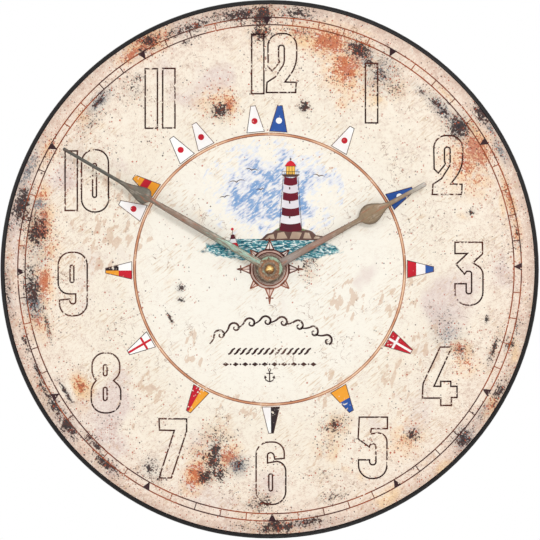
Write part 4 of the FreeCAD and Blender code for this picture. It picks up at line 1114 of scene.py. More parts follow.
class Sheet:
    """A drawing in the dial's plane, in millimetres, that becomes thin closed printed pieces."""

    ARC_STEPS = 7

    def __init__(self) -> None:
        """Starts an empty drawing."""
        self.mesh = bmesh.new()

    def filled(self, outline: Outline, ink: int = 0) -> Face:
        """Draws a filled outline with its corners rounded.

        Args:
            outline: The corners in order.
            ink: Which of the piece's inks fills it.

        Returns:
            The face.
        """
        points = [self.mesh.verts.new((x, y, 0)) for x, y, *_ in outline]
        face = self.mesh.faces.new(points)
        face.normal_update()
        if face.normal.z < 0:
            face.normal_flip()
        for point, (_, _, *turn) in zip(points, outline):
            if any(turn):
                rounded = bmesh.ops.bevel(
                    self.mesh, geom=[point], offset=turn[0], offset_type="OFFSET",
                    segments=self.ARC_STEPS, profile=0.5, affect="VERTICES", material=-1,
                )
                face = rounded["verts"][0].link_faces[0]
        face.material_index = ink
        return face

    def lined(self, outline: Outline, width: float, ink: int = 0) -> Face:
        """Draws an outline with a line of its own along its edge.

        Args:
            outline: The corners in order.
            width: The line's width.
            ink: The ink of the line and of the inside.

        Returns:
            The face inside.
        """
        inner = self.filled(outline, ink)
        bmesh.ops.inset_region(
            self.mesh, faces=[inner], thickness=width, use_boundary=True, use_even_offset=True
        )
        return inner

    def hollow(self, outline: Outline, width: float) -> None:
        """Draws only the line round an outline, and leaves its inside bare."""
        bmesh.ops.delete(self.mesh, geom=[self.lined(outline, width)], context="FACES")

    def ring(self, inner: float, outer: float, steps: int = 240, ink: int = 0) -> None:
        """Draws a ring about the axis by spinning a short line.

        Args:
            inner: The inner radius.
            outer: The outer radius.
            steps: How many steps the turn has.
            ink: Which ink it has.
        """
        ends = [self.mesh.verts.new((0, radius, 0)) for radius in (inner, outer)]
        before = set(self.mesh.faces)
        spun(self.mesh, ends, [self.mesh.edges.new(ends)], steps)
        for face in set(self.mesh.faces) - before:
            face.material_index = ink

    def circles(self, radii: Iterable[float], width: float, steps: int = 240) -> None:
        """Draws the lines of circles about the axis."""
        for radius in radii:
            self.ring(radius - width / 2, radius + width / 2, steps)

    def disc(self, x: float, y: float, radius: float, ink: int = 0, steps: int = 28) -> None:
        """Draws a filled dot.

        Args:
            x: Its middle, across.
            y: Its middle, up.
            radius: Its radius.
            ink: Its ink.
            steps: How many sides it has.
        """
        place = Matrix.Translation((x, y, 0))
        made = bmesh.ops.create_circle(
            self.mesh, cap_ends=True, segments=steps, radius=radius, matrix=place
        )
        for face in made["verts"][0].link_faces:
            face.material_index = ink

    @contextmanager
    def placed(self, turn: float, x: float = 0, y: float = 0) -> Iterator[None]:
        """Shifts what is drawn meanwhile, then turns it clockwise about the axis.

        Args:
            turn: The turn in degrees.
            x: The shift across.
            y: The shift up.
        """
        count = len(self.mesh.verts)
        yield
        self.mesh.verts.ensure_lookup_table()
        move = Matrix.Rotation(math.radians(-turn), 4, "Z") @ Matrix.Translation((x, y, 0))
        bmesh.ops.transform(self.mesh, matrix=move, verts=self.mesh.verts[count:])

    def cut(self, faces: Iterable[Face], x: float, y: float, turn: float) -> None:
        """Cuts faces along a straight line.

        Args:
            faces: The faces to cut.
            x: A point of the line, across.
            y: A point of the line, up.
            turn: The line's angle from level, in degrees.
        """
        chosen = list(faces)
        edges = {edge for face in chosen for edge in face.edges}
        points = {point for face in chosen for point in face.verts}
        normal = (-math.sin(math.radians(turn)), math.cos(math.radians(turn)), 0)
        bmesh.ops.bisect_plane(
            self.mesh, geom=[*points, *edges, *chosen], dist=1e-5, plane_co=(x, y, 0), plane_no=normal
        )

    def finish(self, name: str, layer: Layer, inks: Sequence[Finish]) -> None:
        """Gives the drawing its thickness and puts it on the dial.

        Args:
            name: The piece's name.
            layer: How high it stands.
            inks: Its inks in order.
        """
        made = bmesh.ops.extrude_face_region(self.mesh, geom=self.mesh.faces[:])
        raised = [item for item in made["geom"] if isinstance(item, bmesh.types.BMVert)]
        lift = layer.value * DEPTH_BETWEEN_LAYERS
        bmesh.ops.translate(self.mesh, verts=raised, vec=(0, 0, lift))
        bmesh.ops.recalc_face_normals(self.mesh, faces=self.mesh.faces[:])
        DIAL.settle(self.mesh)
        add_piece(name, self.mesh, inks, Body.CLOCK)


@dataclass
class DialRings:
    """The printed circles of the dial: the ring inside the pennants and the minute track."""

    ring: tuple[float, float] = (89.5, 91)
    ring_line: float = 0.46
    track: tuple[float, float] = (163.3, 168.2)
    track_line: float = 0.8
    tick_width: float = 0.62
    mark_base: float = 5.4
    track_turn: float = -0.6
    minutes: int = 60
    minutes_an_hour: int = 5
    rim_width: float = 0.6
    terracotta: InkFinish = InkFinish(
        "terracotta band", "c88054", "eac4a0", worn=0.35, cover=0.9
    )
    brown_line: InkFinish = InkFinish("brown ring line", "763824", "b0623c", worn=0.3)
    track_ink: InkFinish = InkFinish("minute track ink", "4c2e2a", "a0502e", worn=0.3)
    mark_ink: InkFinish = InkFinish("hour mark ink", "342024", "463032", worn=0.45)
    rim_ink: InkFinish = InkFinish("rim lap ink", "10090a", "221c1c", worn=0.15)

    def build(self) -> None:
        """Builds the circles, the ticks and the black triangles that point inward at the hours."""
        band, lines, lap, track, ticks, marks = (Sheet() for _ in range(6))
        band.ring(*self.ring)
        band.finish("centre_ring_band", Layer.FILL, [self.terracotta])
        lines.circles(self.ring, self.ring_line)
        lines.finish("centre_ring_lines", Layer.LINE, [self.brown_line])
        lap.ring(PAPER_RADIUS - self.rim_width, PAPER_RADIUS, steps=360)
        lap.finish("rim_lap", Layer.FILL, [self.rim_ink])
        track.circles(self.track, self.track_line, steps=300)
        track.finish("minute_track_circles", Layer.LINE, [self.track_ink])
        inner, outer = self.track
        half = self.track_line / 2
        tick = quad(inner + half, outer - half, self.tick_width / 2, self.tick_width / 2)
        mark = ((0, inner - half), (self.mark_base / 2, outer + half), (-self.mark_base / 2, outer + half))
        for minute in range(self.minutes):
            sheet, shape = (ticks, tick) if minute % self.minutes_an_hour else (marks, mark)
            with sheet.placed(360 * minute / self.minutes + self.track_turn):
                sheet.filled(shape)
        ticks.finish("minute_ticks", Layer.LINE, [self.track_ink])
        marks.finish("hour_marks", Layer.DOT, [self.mark_ink])


@dataclass(frozen=True)
class Digit:
    """A hollow figure: its outer line, and its slots as centre, width and height."""

    outline: Outline
    slots: tuple[Numbers, ...] = ()


@dataclass
class Numerals:
    """The twelve hollow numerals, upright and condensed."""

    line: float = 1.02
    slot_turn: float = 0.97
    ink: InkFinish = InkFinish("numeral outline ink", "2c0e0e", "562c22", worn=0.64)
    digits: dict[str, Digit] = field(default_factory=lambda: {
        "0": Digit((
            (-9.5, -21.3, 9), (9.5, -21.3, 9), (9.5, 21.3, 9), (-9.5, 21.3, 9),
        ), ((-0.3, 0.3, 3.6, 23.6),)),
        "1": Digit(((-4.6, -20.4), (4.6, -20.4), (4.6, 20.4), (-4.6, 20.4))),
        "2": Digit((
            (-10.7, -20), (9.9, -20), (10.3, -12.2), (3.2, -12), (10.6, -2, 6.5),
            (10.6, 20.4, 9), (-9.8, 20.4, 9), (-9.4, -2.7), (-6.1, -6), (-0.8, 0.8), (-1.5, 2.8),
            (-1.5, 11.6, 1.3), (1.3, 11.6, 1.3), (1.3, 0.2, 2), (-4.4, -8.6), (-10.2, -12.4),
        )),
        "3": Digit((
            (-9.8, 21.5), (9.6, 21.5), (9.6, 13), (3.6, 7.3), (9.9, 3.2, 3.6), (9.9, -21.6, 9.2),
            (-9.9, -21.6, 9.2), (-9.8, -6.2), (-1.3, -6.2), (-1.3, -12.9, 1.2), (1.3, -12.9, 1.2),
            (1.3, 1.1, 1.2), (-1.2, 1.1), (-2.9, -1.1), (-9.3, 6.3), (-2.3, 13), (-9.8, 12.9),
        )),
        "4": Digit((
            (0.1, 20), (9, 20), (-2.9, -6.2), (0.3, -6.2), (0.3, -2.9), (8, -2.9), (8, -6.2),
            (12.2, -6.2), (12.2, -14.7), (8.4, -14.7), (8.4, -20), (0.3, -20), (0.3, -15.1),
            (-12, -15.1), (-11.6, -4.9, 1.6),
        )),
        "5": Digit((
            (-9.5, 20.9), (10.3, 20.9), (10.3, 12.2), (-0.5, 12.2), (-0.9, 9.8), (10, 11.3, 7.5),
            (10, -21.1, 9.4), (-10, -21.1, 9.4), (-10, -7.6), (-1.6, -7.6), (-1.6, -10.9, 1.5),
            (1.6, -10.9, 1.5), (1.6, 2.1, 1.5), (-1.4, 2.1, 1.2), (-1.9, -0.5), (-10.3, 5.7),
        )),
        "6": Digit((
            (-10.3, 21.3, 9), (9.5, 21.3, 8), (9.5, 9.4), (2.3, 8.8), (1.3, 13.1, 1.3),
            (-1.7, 13.1, 1.3), (-1.7, 7.4), (4.2, 8.4), (10.5, 7, 5.4), (10.5, -21.4, 9.2),
            (-10.3, -21.4, 9.2),
        ), ((-0.1, -6.2, 3.5, 12.4),)),
        "7": Digit((
            (-9.8, 20.4), (9.7, 20.2), (9.7, 11.5), (-0.7, -20.2), (-9.6, -20.2), (-8.2, -14.8),
            (0.3, 11.5), (-9.4, 11.7),
        )),
        "8": Digit((
            (-9.8, 20.6, 9), (9.8, 20.6, 9), (9.7, 5.4, 3), (5.8, 1.6), (10.4, -2.4, 3.2),
            (10.4, -20.5, 9.4), (-10.3, -20.5, 9.4), (-10.3, -2.4, 3.2), (-7.2, 1.6), (-9.8, 5.4, 3),
        ), ((-0.5, 8.5, 3.5, 8.3), (-0.5, -7.3, 3.5, 9.8))),
        "9": Digit((
            (-10.2, 21.6, 9), (10.2, 21.6, 9), (10.2, -21.8, 9), (-9.3, -21.8, 8.4),
            (-9.3, -10.3), (-1.5, -9.6), (-1.2, -12.8, 1.2), (1.5, -12.8, 1.2), (1.5, -7.2),
            (-10.2, -7.2, 7.6),
        ), ((-0.5, 6.7, 3.5, 12.5),)),
    })
    figures: tuple[tuple[str, float, float], ...] = (
        ("1", -7.9, 137.1), ("2", 8, 137.5), ("1", 68.1, 117.6), ("2", 118.8, 69.4),
        ("3", 133.1, -3), ("4", 113.5, -71.5), ("5", 68.9, -119.2), ("6", 0.8, -136.2),
        ("7", -64.6, -119.7), ("8", -109.3, -76), ("9", -131.5, -9.8), ("1", -132.5, 59.1),
        ("0", -116.6, 59), ("1", -79, 114), ("1", -67.3, 114.2),
    )

    def build(self) -> None:
        """Draws each digit's outline and slots at its place."""
        sheet = Sheet()
        for name, across, up in self.figures:
            digit = self.digits[name]
            with sheet.placed(0, across, up):
                sheet.hollow(digit.outline, self.line)
                for x, y, width, height in digit.slots:
                    half = width / 2
                    slot = quad(y - height / 2, y + height / 2, half, half, x, half * self.slot_turn)
                    sheet.hollow(slot, self.line)
        sheet.finish("numerals", Layer.LINE, [self.ink])


class FlagInk(IntEnum):
    """The inks of the pennants, in the order of each piece's materials."""

    OUTLINE = 0
    WHITE = 1
    RED = 2
    BLUE = 3
    YELLOW = 4
    BLACK = 5


@dataclass(frozen=True)
class Design:
    """A pennant's design: the inks of its left and right from the foot up, where they change, and a mark."""

    left: tuple[FlagInk, ...]
    right: tuple[FlagInk, ...] = ()
    changes: Numbers = ()
    cross: FlagInk | None = None
    dot: FlagInk | None = None


class Flag(Enum):
    """The designs of the signal pennants."""

    RED_DOT = Design((FlagInk.WHITE,), dot=FlagInk.RED)
    WHITE_DOT = Design((FlagInk.BLUE,), dot=FlagInk.WHITE)
    THREE_BANDS = Design((FlagInk.RED, FlagInk.WHITE, FlagInk.BLUE), changes=(0.34, 0.68))
    WHITE_CROSS = Design((FlagInk.RED,), cross=FlagInk.WHITE)
    TWO_BANDS = Design((FlagInk.YELLOW, FlagInk.BLUE), changes=(0.5,))
    BLACK_AND_WHITE = Design((FlagInk.BLACK,), (FlagInk.WHITE,))
    YELLOW_AND_RED = Design((FlagInk.YELLOW,), (FlagInk.RED,))
    RED_CROSS = Design((FlagInk.WHITE,), cross=FlagInk.RED)
    QUARTERS = Design((FlagInk.RED, FlagInk.YELLOW), (FlagInk.WHITE, FlagInk.BLACK), (0.5,))
    YELLOW_RED_YELLOW = Design((FlagInk.YELLOW, FlagInk.RED, FlagInk.YELLOW), changes=(0.34, 0.62))


@dataclass
class Pennants:
    """The signal pennants that stand round the centre ring and point outward."""

    base_radius: float = 91.8
    height: float = 18.0
    base_half: float = 6.15
    tip_half: float = 1.8
    outline: float = 0.46
    dot_radius: float = 2.05
    dot_height: float = 7.6
    cross_half: float = 0.75
    cross_height: float = 5.6
    flown: tuple[tuple[float, Flag], ...] = (
        (354.2, Flag.RED_DOT), (3.6, Flag.WHITE_DOT), (30.2, Flag.RED_DOT), (60.8, Flag.WHITE_DOT),
        (90, Flag.THREE_BANDS), (120.2, Flag.WHITE_CROSS), (150.1, Flag.TWO_BANDS),
        (179.5, Flag.BLACK_AND_WHITE), (209.7, Flag.YELLOW_AND_RED), (239.4, Flag.RED_CROSS),
        (269.5, Flag.QUARTERS), (293.9, Flag.RED_DOT), (304.2, Flag.YELLOW_RED_YELLOW),
        (323.3, Flag.RED_DOT), (332.6, Flag.RED_DOT),
    )
    inks: tuple[InkFinish, ...] = (
        InkFinish("pennant outline ink", "3e2c2c", "68483e", worn=0.3),
        InkFinish("pennant white", "fffffc", "f8f3f1", worn=0.1),
        InkFinish("pennant red", "ce2636", "bc2432", worn=0.34),
        InkFinish("pennant blue", "2e549e", "385ea8", worn=0.34),
        InkFinish("pennant yellow", "f6aa3e", "f09e32", worn=0.34),
        InkFinish("pennant black", "282226", "362c2e", worn=0.62),
    )

    def build(self) -> None:
        """Draws each pennant, then the dots on top."""
        dots = Sheet()
        for index, (bearing, flag) in enumerate(self.flown):
            sheet = Sheet()
            with sheet.placed(bearing, 0, self.base_radius):
                self._cloth(sheet, flag.value)
            sheet.finish(f"pennant_{index:02d}", Layer.FILL, self.inks)
            if flag.value.dot is not None:
                with dots.placed(bearing, 0, self.base_radius):
                    dots.disc(0, self.dot_height, self.dot_radius, flag.value.dot)
        dots.finish("pennant_dots", Layer.LINE, self.inks)

    def _cloth(self, sheet: Sheet, design: Design) -> None:
        """Draws one pennant from its foot up, cuts it along its design's lines and colours it.

        Args:
            sheet: The drawing.
            design: The pennant's design.
        """
        cuts = [(0, 0, 90)] if design.right else []
        cuts += [(0, share * self.height, 0) for share in design.changes]
        if design.cross is not None:
            for side in (-self.cross_half, self.cross_half):
                cuts += [(side, 0, 90), (0, self.cross_height + side, 0)]
        cloths = [sheet.lined(quad(0, self.height, self.base_half, self.tip_half), self.outline)]
        for cut in cuts:
            sheet.cut(cloths, *cut)
            cloths = [face for face in sheet.mesh.faces if self._holds(face.calc_center_median())]
        for face in cloths:
            face.material_index = self._ink_at(design, face.calc_center_median())

    def _holds(self, middle: Vector) -> bool:
        """Says whether a point lies inside the pennant's outline.

        Args:
            middle: The point, from the foot's middle.

        Returns:
            Whether it does.
        """
        line = self.outline * 1.05
        half = self.base_half - middle.y * (self.base_half - self.tip_half) / self.height
        return abs(middle.x) < half - line and line < middle.y < self.height - line

    def _ink_at(self, design: Design, middle: Vector) -> FlagInk:
        """Says which ink a part of a pennant has.

        Args:
            design: The pennant's design.
            middle: The middle of the part, from the foot's middle.

        Returns:
            The ink.
        """
        off = min(abs(middle.x), abs(middle.y - self.cross_height))
        if design.cross is not None and off < self.cross_half:
            return design.cross
        side = design.right if design.right and middle.x > 0 else design.left
        return side[sum(middle.y > share * self.height for share in design.changes)]


@dataclass
class CompassRose:
    """The printed compass rose that stands out round the hands' bosses."""

    rings: tuple[float, float] = (11.1, 13.1)
    blush_inner: float = 8.1
    line: float = 0.8
    points: tuple[Numbers, ...] = ((0, 3.4, 19.4), (45, 2.7, 18.4))
    bar_half: float = 1.5
    bar_radius: float = 19.3
    ball: float = 0.55
    tail_tips: Numbers = (21, 22.7, 23.4, 21.9)
    copper: InkFinish = InkFinish("compass line ink", "582c26", "9e604a", worn=0.2)
    blush: InkFinish = InkFinish("compass blush", "d6b2a4", "f0d8cc", worn=0.2)
    cream: InkFinish = InkFinish("compass cream", "f6e8de", "e8cec0", worn=0.3)

    def build(self) -> None:
        """Draws the pink fill, then the copper lines over it."""
        fill, rings, lines = (Sheet() for _ in range(3))
        fill.ring(self.blush_inner, self.rings[1], steps=96, ink=1)
        rings.circles(self.rings, self.line, steps=96)
        for quarter, tail_tip in enumerate(self.tail_tips):
            for turn, foot, tip in self.points:
                base = self.rings[1] - self.line
                with fill.placed(90.0 * quarter + turn):
                    fill.filled(quad(base, tip, foot, 0.3))
                base = self.rings[1] - self.line * 0.4
                with lines.placed(90.0 * quarter + turn):
                    lines.hollow(quad(base, tip, foot, 0.45), self.line)
                    lines.filled(quad(base, tip - 1, 0.3, 0.16))
            with lines.placed(90.0 * quarter):
                self._tail(lines, tail_tip)
        fill.finish("compass_fill", Layer.FILL, [self.cream, self.blush])
        rings.finish("compass_rings", Layer.LINE, [self.copper])
        lines.finish("compass_lines", Layer.DOT, [self.copper])

    def _tail(self, sheet: Sheet, tip: float) -> None:
        """Draws a main point's cross-bar and the small spike beyond it.

        Args:
            sheet: The drawing.
            tip: How far out the spike reaches.
        """
        half = self.line * 0.55
        low, high = self.bar_radius - half, self.bar_radius + half
        sheet.filled(quad(low, high, self.bar_half, self.bar_half, turn=half * 0.9))
        for side in (-1, 1):
            sheet.disc(side * (self.bar_half + self.ball), self.bar_radius, self.ball, steps=16)
        sheet.filled(quad(high + 0.1, tip, 0.9, 0.35))


class Pen:
    """A stroke drawn by carrying a short edge along straight runs and arcs."""

    def __init__(self, sheet: Sheet, x: float, y: float, heading: float, width: float) -> None:
        """Sets the pen down.

        Args:
            sheet: The drawing that the stroke goes into.
            x: Where it starts, across.
            y: Where it starts, up.
            heading: Its heading in degrees, counted from right to up.
            width: The stroke's width.
        """
        self.mesh = sheet.mesh
        self.place = Vector((x, y, 0))
        self.heading = math.radians(heading)
        side = self._side() * (width / 2)
        self.edge = self.mesh.edges.new(
            [self.mesh.verts.new(self.place - side), self.mesh.verts.new(self.place + side)]
        )

    def _side(self) -> Vector:
        """Gives the way to the left of the heading."""
        return Vector((-math.sin(self.heading), math.cos(self.heading), 0))

    def run(self, length: float, taper: float = 1) -> "Pen":
        """Goes straight on.

        Args:
            length: How far it goes.
            taper: The width at the end as a share of that at the start.

        Returns:
            The pen.
        """
        step = Vector((math.cos(self.heading), math.sin(self.heading), 0)) * length
        ends, (self.edge,) = grown(self.mesh, [self.edge])
        bmesh.ops.translate(self.mesh, verts=ends, vec=step)
        self.place += step
        return self._thinned(taper)

    def arc(self, radius: float, turn: float, taper: float = 1, steps: int = 8) -> "Pen":
        """Goes round an arc.

        Args:
            radius: The arc's radius.
            turn: How far it turns in degrees, to the left where it is above 0.
            taper: The stroke's width at the end as a share of that at the start.
            steps: How many steps the arc has.

        Returns:
            The pen.
        """
        angle = math.radians(turn) / steps
        centre = self.place + self._side() * math.copysign(radius, turn)
        for _ in range(steps):
            made = bmesh.ops.spin(
                self.mesh, geom=[*self.edge.verts, self.edge], cent=centre, axis=(0, 0, 1),
                dvec=(0, 0, 0), angle=angle, steps=1, use_merge=False, use_duplicate=False,
            )["geom_last"]
            self.edge = next(item for item in made if isinstance(item, bmesh.types.BMEdge))
            self.place = centre + Matrix.Rotation(angle, 3, "Z") @ (self.place - centre)
            self.heading += angle
            self._thinned(taper ** (1 / steps))
        return self

    def _thinned(self, share: float) -> "Pen":
        """Narrows the stroke at its end.

        Args:
            share: The share of the width that is left.

        Returns:
            The pen.
        """
        move = Matrix.Translation(self.place) @ Matrix.Scale(share, 4) @ Matrix.Translation(-self.place)
        bmesh.ops.transform(self.mesh, matrix=move, verts=list(self.edge.verts))
        return self


class PictureInk(IntEnum):
    """The inks of the harbour picture, in the order of each piece's materials."""

    LINE = 0
    BURGUNDY = 1
    GREY_WHITE = 2
    RED = 3
    AMBER = 4
    STONE = 5
    STONE_DARK = 6
    FOAM = 7
    GREEN = 8


@dataclass
class HarbourPicture:
    """A lighthouse on a rock, with a buoy, gulls and a wash of sea and sky."""

    ovals: tuple[tuple[Wash, tuple[float, float], tuple[float, float]], ...] = (
        (Wash.SKY, (2, 52), (48, 36)), (Wash.SEA, (1, 13.5), (50, 8.8)),
    )
    horizon: float = 20.2
    tower_across: float = 14.0
    tower_foot: float = 26.0
    tower_height: float = 36.0
    tower_foot_width: float = 13.2
    tower_top_width: float = 8.4
    band_sag: float = 1.1
    bands: int = 7
    line: float = 0.34
    rock: Outline = (
        (-8, 19.2), (40, 19.4), (36, 22, 1), (31, 22.8), (28, 25.6, 1.5),
        (22.6, 26.8), (5, 27.2, 1.5), (1.6, 24.4), (-2, 23.6, 1), (-5, 20.6),
    )
    rock_faces: tuple[Outline, ...] = (
        ((-3.2, 20.2), (3.4, 20.4), (2.6, 23.4), (-0.6, 22.6)),
        ((4.6, 20.2), (12, 20.6), (9.6, 25), (5.4, 24.2)),
        ((13.4, 20.4), (19.8, 20.2), (21.6, 24.4), (15.2, 25.2)),
        ((22.4, 20.6), (28, 20.4), (26.4, 24.2), (23.6, 24.6)),
        ((29.4, 20.4), (35.6, 20.2), (33, 21.8), (30.4, 22)),
    )
    turf: Outline = ((4, 26), (24, 25.8), (22.6, 27.2, 0.8), (6, 27.6, 0.8))
    buoy: tuple[float, float] = (-23, 16.4)
    buoy_lean: float = -4.0
    gulls: tuple[Numbers, ...] = (
        (-22, 58, 4.6, 8), (-12, 66, 3.6, -6), (-30, 48, 3, 12),
        (33, 62, 3.4, -10), (-6, 53, 2.4, 4),
    )
    inks: tuple[InkFinish, ...] = (
        InkFinish("picture line ink", "483432", "60463e", worn=0.3),
        InkFinish("picture burgundy", "701c2c", "58222e", worn=0.12),
        InkFinish("picture grey white", "e2dae0", "f0ecee", worn=0.05),
        InkFinish("picture red", "d62c38", "c42430", worn=0.1),
        InkFinish("picture amber", "f8c45c", "f4ac3c", worn=0.1),
        InkFinish("picture stone", "a48c7a", "c4ac96", worn=0.2),
        InkFinish("picture dark stone", "58403c", "6e544c", worn=0.15),
        InkFinish("picture foam", "f7f7f4", "ecf0ee", worn=0.2),
        InkFinish("picture green", "688460", "8c9668", worn=0.3),
    )

    def build(self) -> None:
        """Builds the picture from the washes up."""
        for oval in self.ovals:
            self._oval(*oval)
        self._headland()
        self._tower()
        self._lantern()
        self._buoy()
        self._gulls()
        self._crests()

    def _oval(self, wash: Wash, centre: tuple[float, float], half: tuple[float, float]) -> None:
        """Lays one washed oval on its side of the horizon.

        Args:
            wash: What it shows.
            centre: Its middle.
            half: Its half sizes.
        """
        sheet = Sheet()
        with sheet.placed(0, *centre):
            sheet.disc(0, 0, 1, steps=96)
            bmesh.ops.scale(sheet.mesh, vec=(*half, 1), verts=sheet.mesh.verts[:])
        sheet.cut(sheet.mesh.faces[:], 0, self.horizon, 0)
        other = [
            face for face in sheet.mesh.faces
            if (face.calc_center_median().y > self.horizon) is (wash is Wash.SEA)
        ]
        bmesh.ops.delete(sheet.mesh, geom=other, context="FACES")
        finish = WashFinish(f"{wash.value} wash", wash, centre, half)
        sheet.finish(f"{wash.value}_wash", Layer.WASH, [finish])

    def _headland(self) -> None:
        """Draws the rock that the tower stands on, with its lit faces and its turf."""
        sheet, faces = Sheet(), Sheet()
        sheet.filled(self.rock, PictureInk.STONE_DARK)
        sheet.finish("headland_rock", Layer.FILL, self.inks)
        for outline in self.rock_faces:
            faces.filled(outline, PictureInk.STONE)
        faces.filled(self.turf, PictureInk.GREEN)
        faces.finish("headland_faces", Layer.FACE, self.inks)

    def _tower_half_width(self, share: float) -> float:
        """Gives the tower's half width at a share of its height; it flares at the foot."""
        straight = self.tower_foot_width + (self.tower_top_width - self.tower_foot_width) * share
        return straight / 2 + 0.9 * (1 - share) ** 6

    def _tower(self) -> None:
        """Builds the banded tower from a grid whose rows sag like hoops round it."""
        sheet, trim = Sheet(), Sheet()
        bmesh.ops.create_grid(sheet.mesh, x_segments=10, y_segments=self.bands, size=0.5)
        for face in sheet.mesh.faces:
            row = int((face.calc_center_median().y + 0.5) * self.bands)
            face.material_index = PictureInk.GREY_WHITE if row % 2 else PictureInk.BURGUNDY
        for point in sheet.mesh.verts:
            share = point.co.y + 0.5
            side = 2 * point.co.x
            point.co.x = self.tower_across + side * self._tower_half_width(share)
            point.co.y = self.tower_foot + share * self.tower_height - self.band_sag * (1 - side * side)
        sheet.finish("lighthouse_tower", Layer.LINE, self.inks)
        for side in (-1, 1):
            x = self.tower_across + side * self._tower_half_width(0)
            lean = math.atan2(self.tower_height, -side * 2.6)
            pen = Pen(trim, x, self.tower_foot, math.degrees(lean), self.line)
            pen.run(self.tower_height / math.sin(lean))
        x = self.tower_across - 0.6
        for share, size in ((0.25, 1), (0.52, 0.9), (0.78, 0.8)):
            y = self.tower_foot + share * self.tower_height
            left, right = x - size / 2, x + size / 2
            trim.filled(((left, y - size), (right, y - size), (right, y + size, 0.3), (left, y + size, 0.3)))
        trim.finish("lighthouse_trim", Layer.DOT, self.inks)

    def _lantern(self) -> None:
        """Draws the gallery, the lit lantern room, its roof and its finial."""
        x = self.tower_across
        top = self.tower_foot + self.tower_height - 0.4
        gallery = self.tower_top_width / 2 + 1.7
        sheet, bars = Sheet(), Sheet()
        sheet.filled(quad(top + 1, top + 1.8, gallery, gallery, x), PictureInk.LINE)
        sheet.filled(quad(top, top + 1, 4, gallery - 0.4, x), PictureInk.STONE_DARK)
        sheet.filled(quad(top + 1.8, top + 7.2, 2.9, 2.9, x), PictureInk.AMBER)
        roof = (
            (x - 3.9, top + 7.2), (x + 3.9, top + 7.2), (x + 2.2, top + 9.8, 0.8),
            (x, top + 11.2, 0.6), (x - 2.2, top + 9.8, 0.8),
        )
        sheet.filled(roof, PictureInk.RED)
        sheet.finish("lighthouse_lantern", Layer.FILL, self.inks)
        for step in range(4):
            Pen(bars, x - 2.9 + step * 5.8 / 3, top + 1.8, 90, 0.3).run(5.4)
        for step in range(9):
            post = x - gallery + 0.3 + step * (2 * gallery - 0.6) / 8
            Pen(bars, post, top + 1.8, 90, 0.2).run(1.9)
        Pen(bars, x - gallery, top + 3.7, 0, 0.26).run(2 * gallery)
        Pen(bars, x - 3.9, top + 7.2, 0, 0.3).run(7.8)
        Pen(bars, x, top + 10.8, 90, 0.3).run(2.2, 0.6)
        bars.disc(x, top + 12, 0.62)
        bars.finish("lighthouse_bars", Layer.DOT, self.inks)

    def _buoy(self) -> None:
        """Draws a small conical buoy with its cage and top mark."""
        x, foot = self.buoy
        sheet, lines = Sheet(), Sheet()
        with sheet.placed(self.buoy_lean):
            for low, high, below, above, ink in (
                (0, 2.8, 3.4, 2.6, PictureInk.RED), (2.8, 5.4, 2.6, 1.9, PictureInk.GREY_WHITE),
                (5.4, 8.4, 1.9, 1.1, PictureInk.BURGUNDY),
            ):
                sheet.filled(quad(foot + low, foot + high, below, above, x), ink)
        sheet.finish("harbour_buoy", Layer.FILL, self.inks)
        with lines.placed(self.buoy_lean):
            for side in (-1, 1):
                Pen(lines, x + side * 3.4, foot, 90 + side * 17, 0.3).run(8.6)
            Pen(lines, x, foot + 8.2, 90, 0.34).run(3.2)
            lines.disc(x, foot + 12, 0.95, PictureInk.RED)
        lines.finish("buoy_lines", Layer.LINE, self.inks)

    def _gulls(self) -> None:
        """Draws gulls as two bowed wings each."""
        sheet = Sheet()
        for x, y, span, tilt in self.gulls:
            for side in (-1, 1):
                pen = Pen(sheet, x, y, 90 - side * 38 + tilt, 0.62)
                pen.arc(span * 0.75, -side * 62, 0.8).arc(span * 1.3, -side * 26, 0.25)
        sheet.finish("gulls", Layer.LINE, self.inks)

    def _crests(self) -> None:
        """Scatters white wave crests over the sea, in rows so that none lies on another."""
        sheet = Sheet()
        draw = Random(11)
        for row in range(11):
            y = 6.2 + row * 1.27
            reach = 44.0 * math.sqrt(max(0.05, 1 - ((y - 13.5) / 9.5) ** 2))
            x = -reach + draw.uniform(0, 8)
            while x < reach - 3.0:
                length = draw.uniform(2.2, 5.2)
                pen = Pen(sheet, x, y, 16, 0.12)
                pen.arc(length * 1.6, -16, 3.2, 4).arc(length * 1.6, -16, 0.3, 4)
                x += length + draw.uniform(1, 13)
        for face in sheet.mesh.faces:
            face.material_index = PictureInk.FOAM
        sheet.finish("wave_crests", Layer.CREST, self.inks)


def spread(count: int, step: float) -> list[float]:
    """Gives places a step apart, with their middle at 0."""
    return [(index - (count - 1) / 2) * step for index in range(count)]


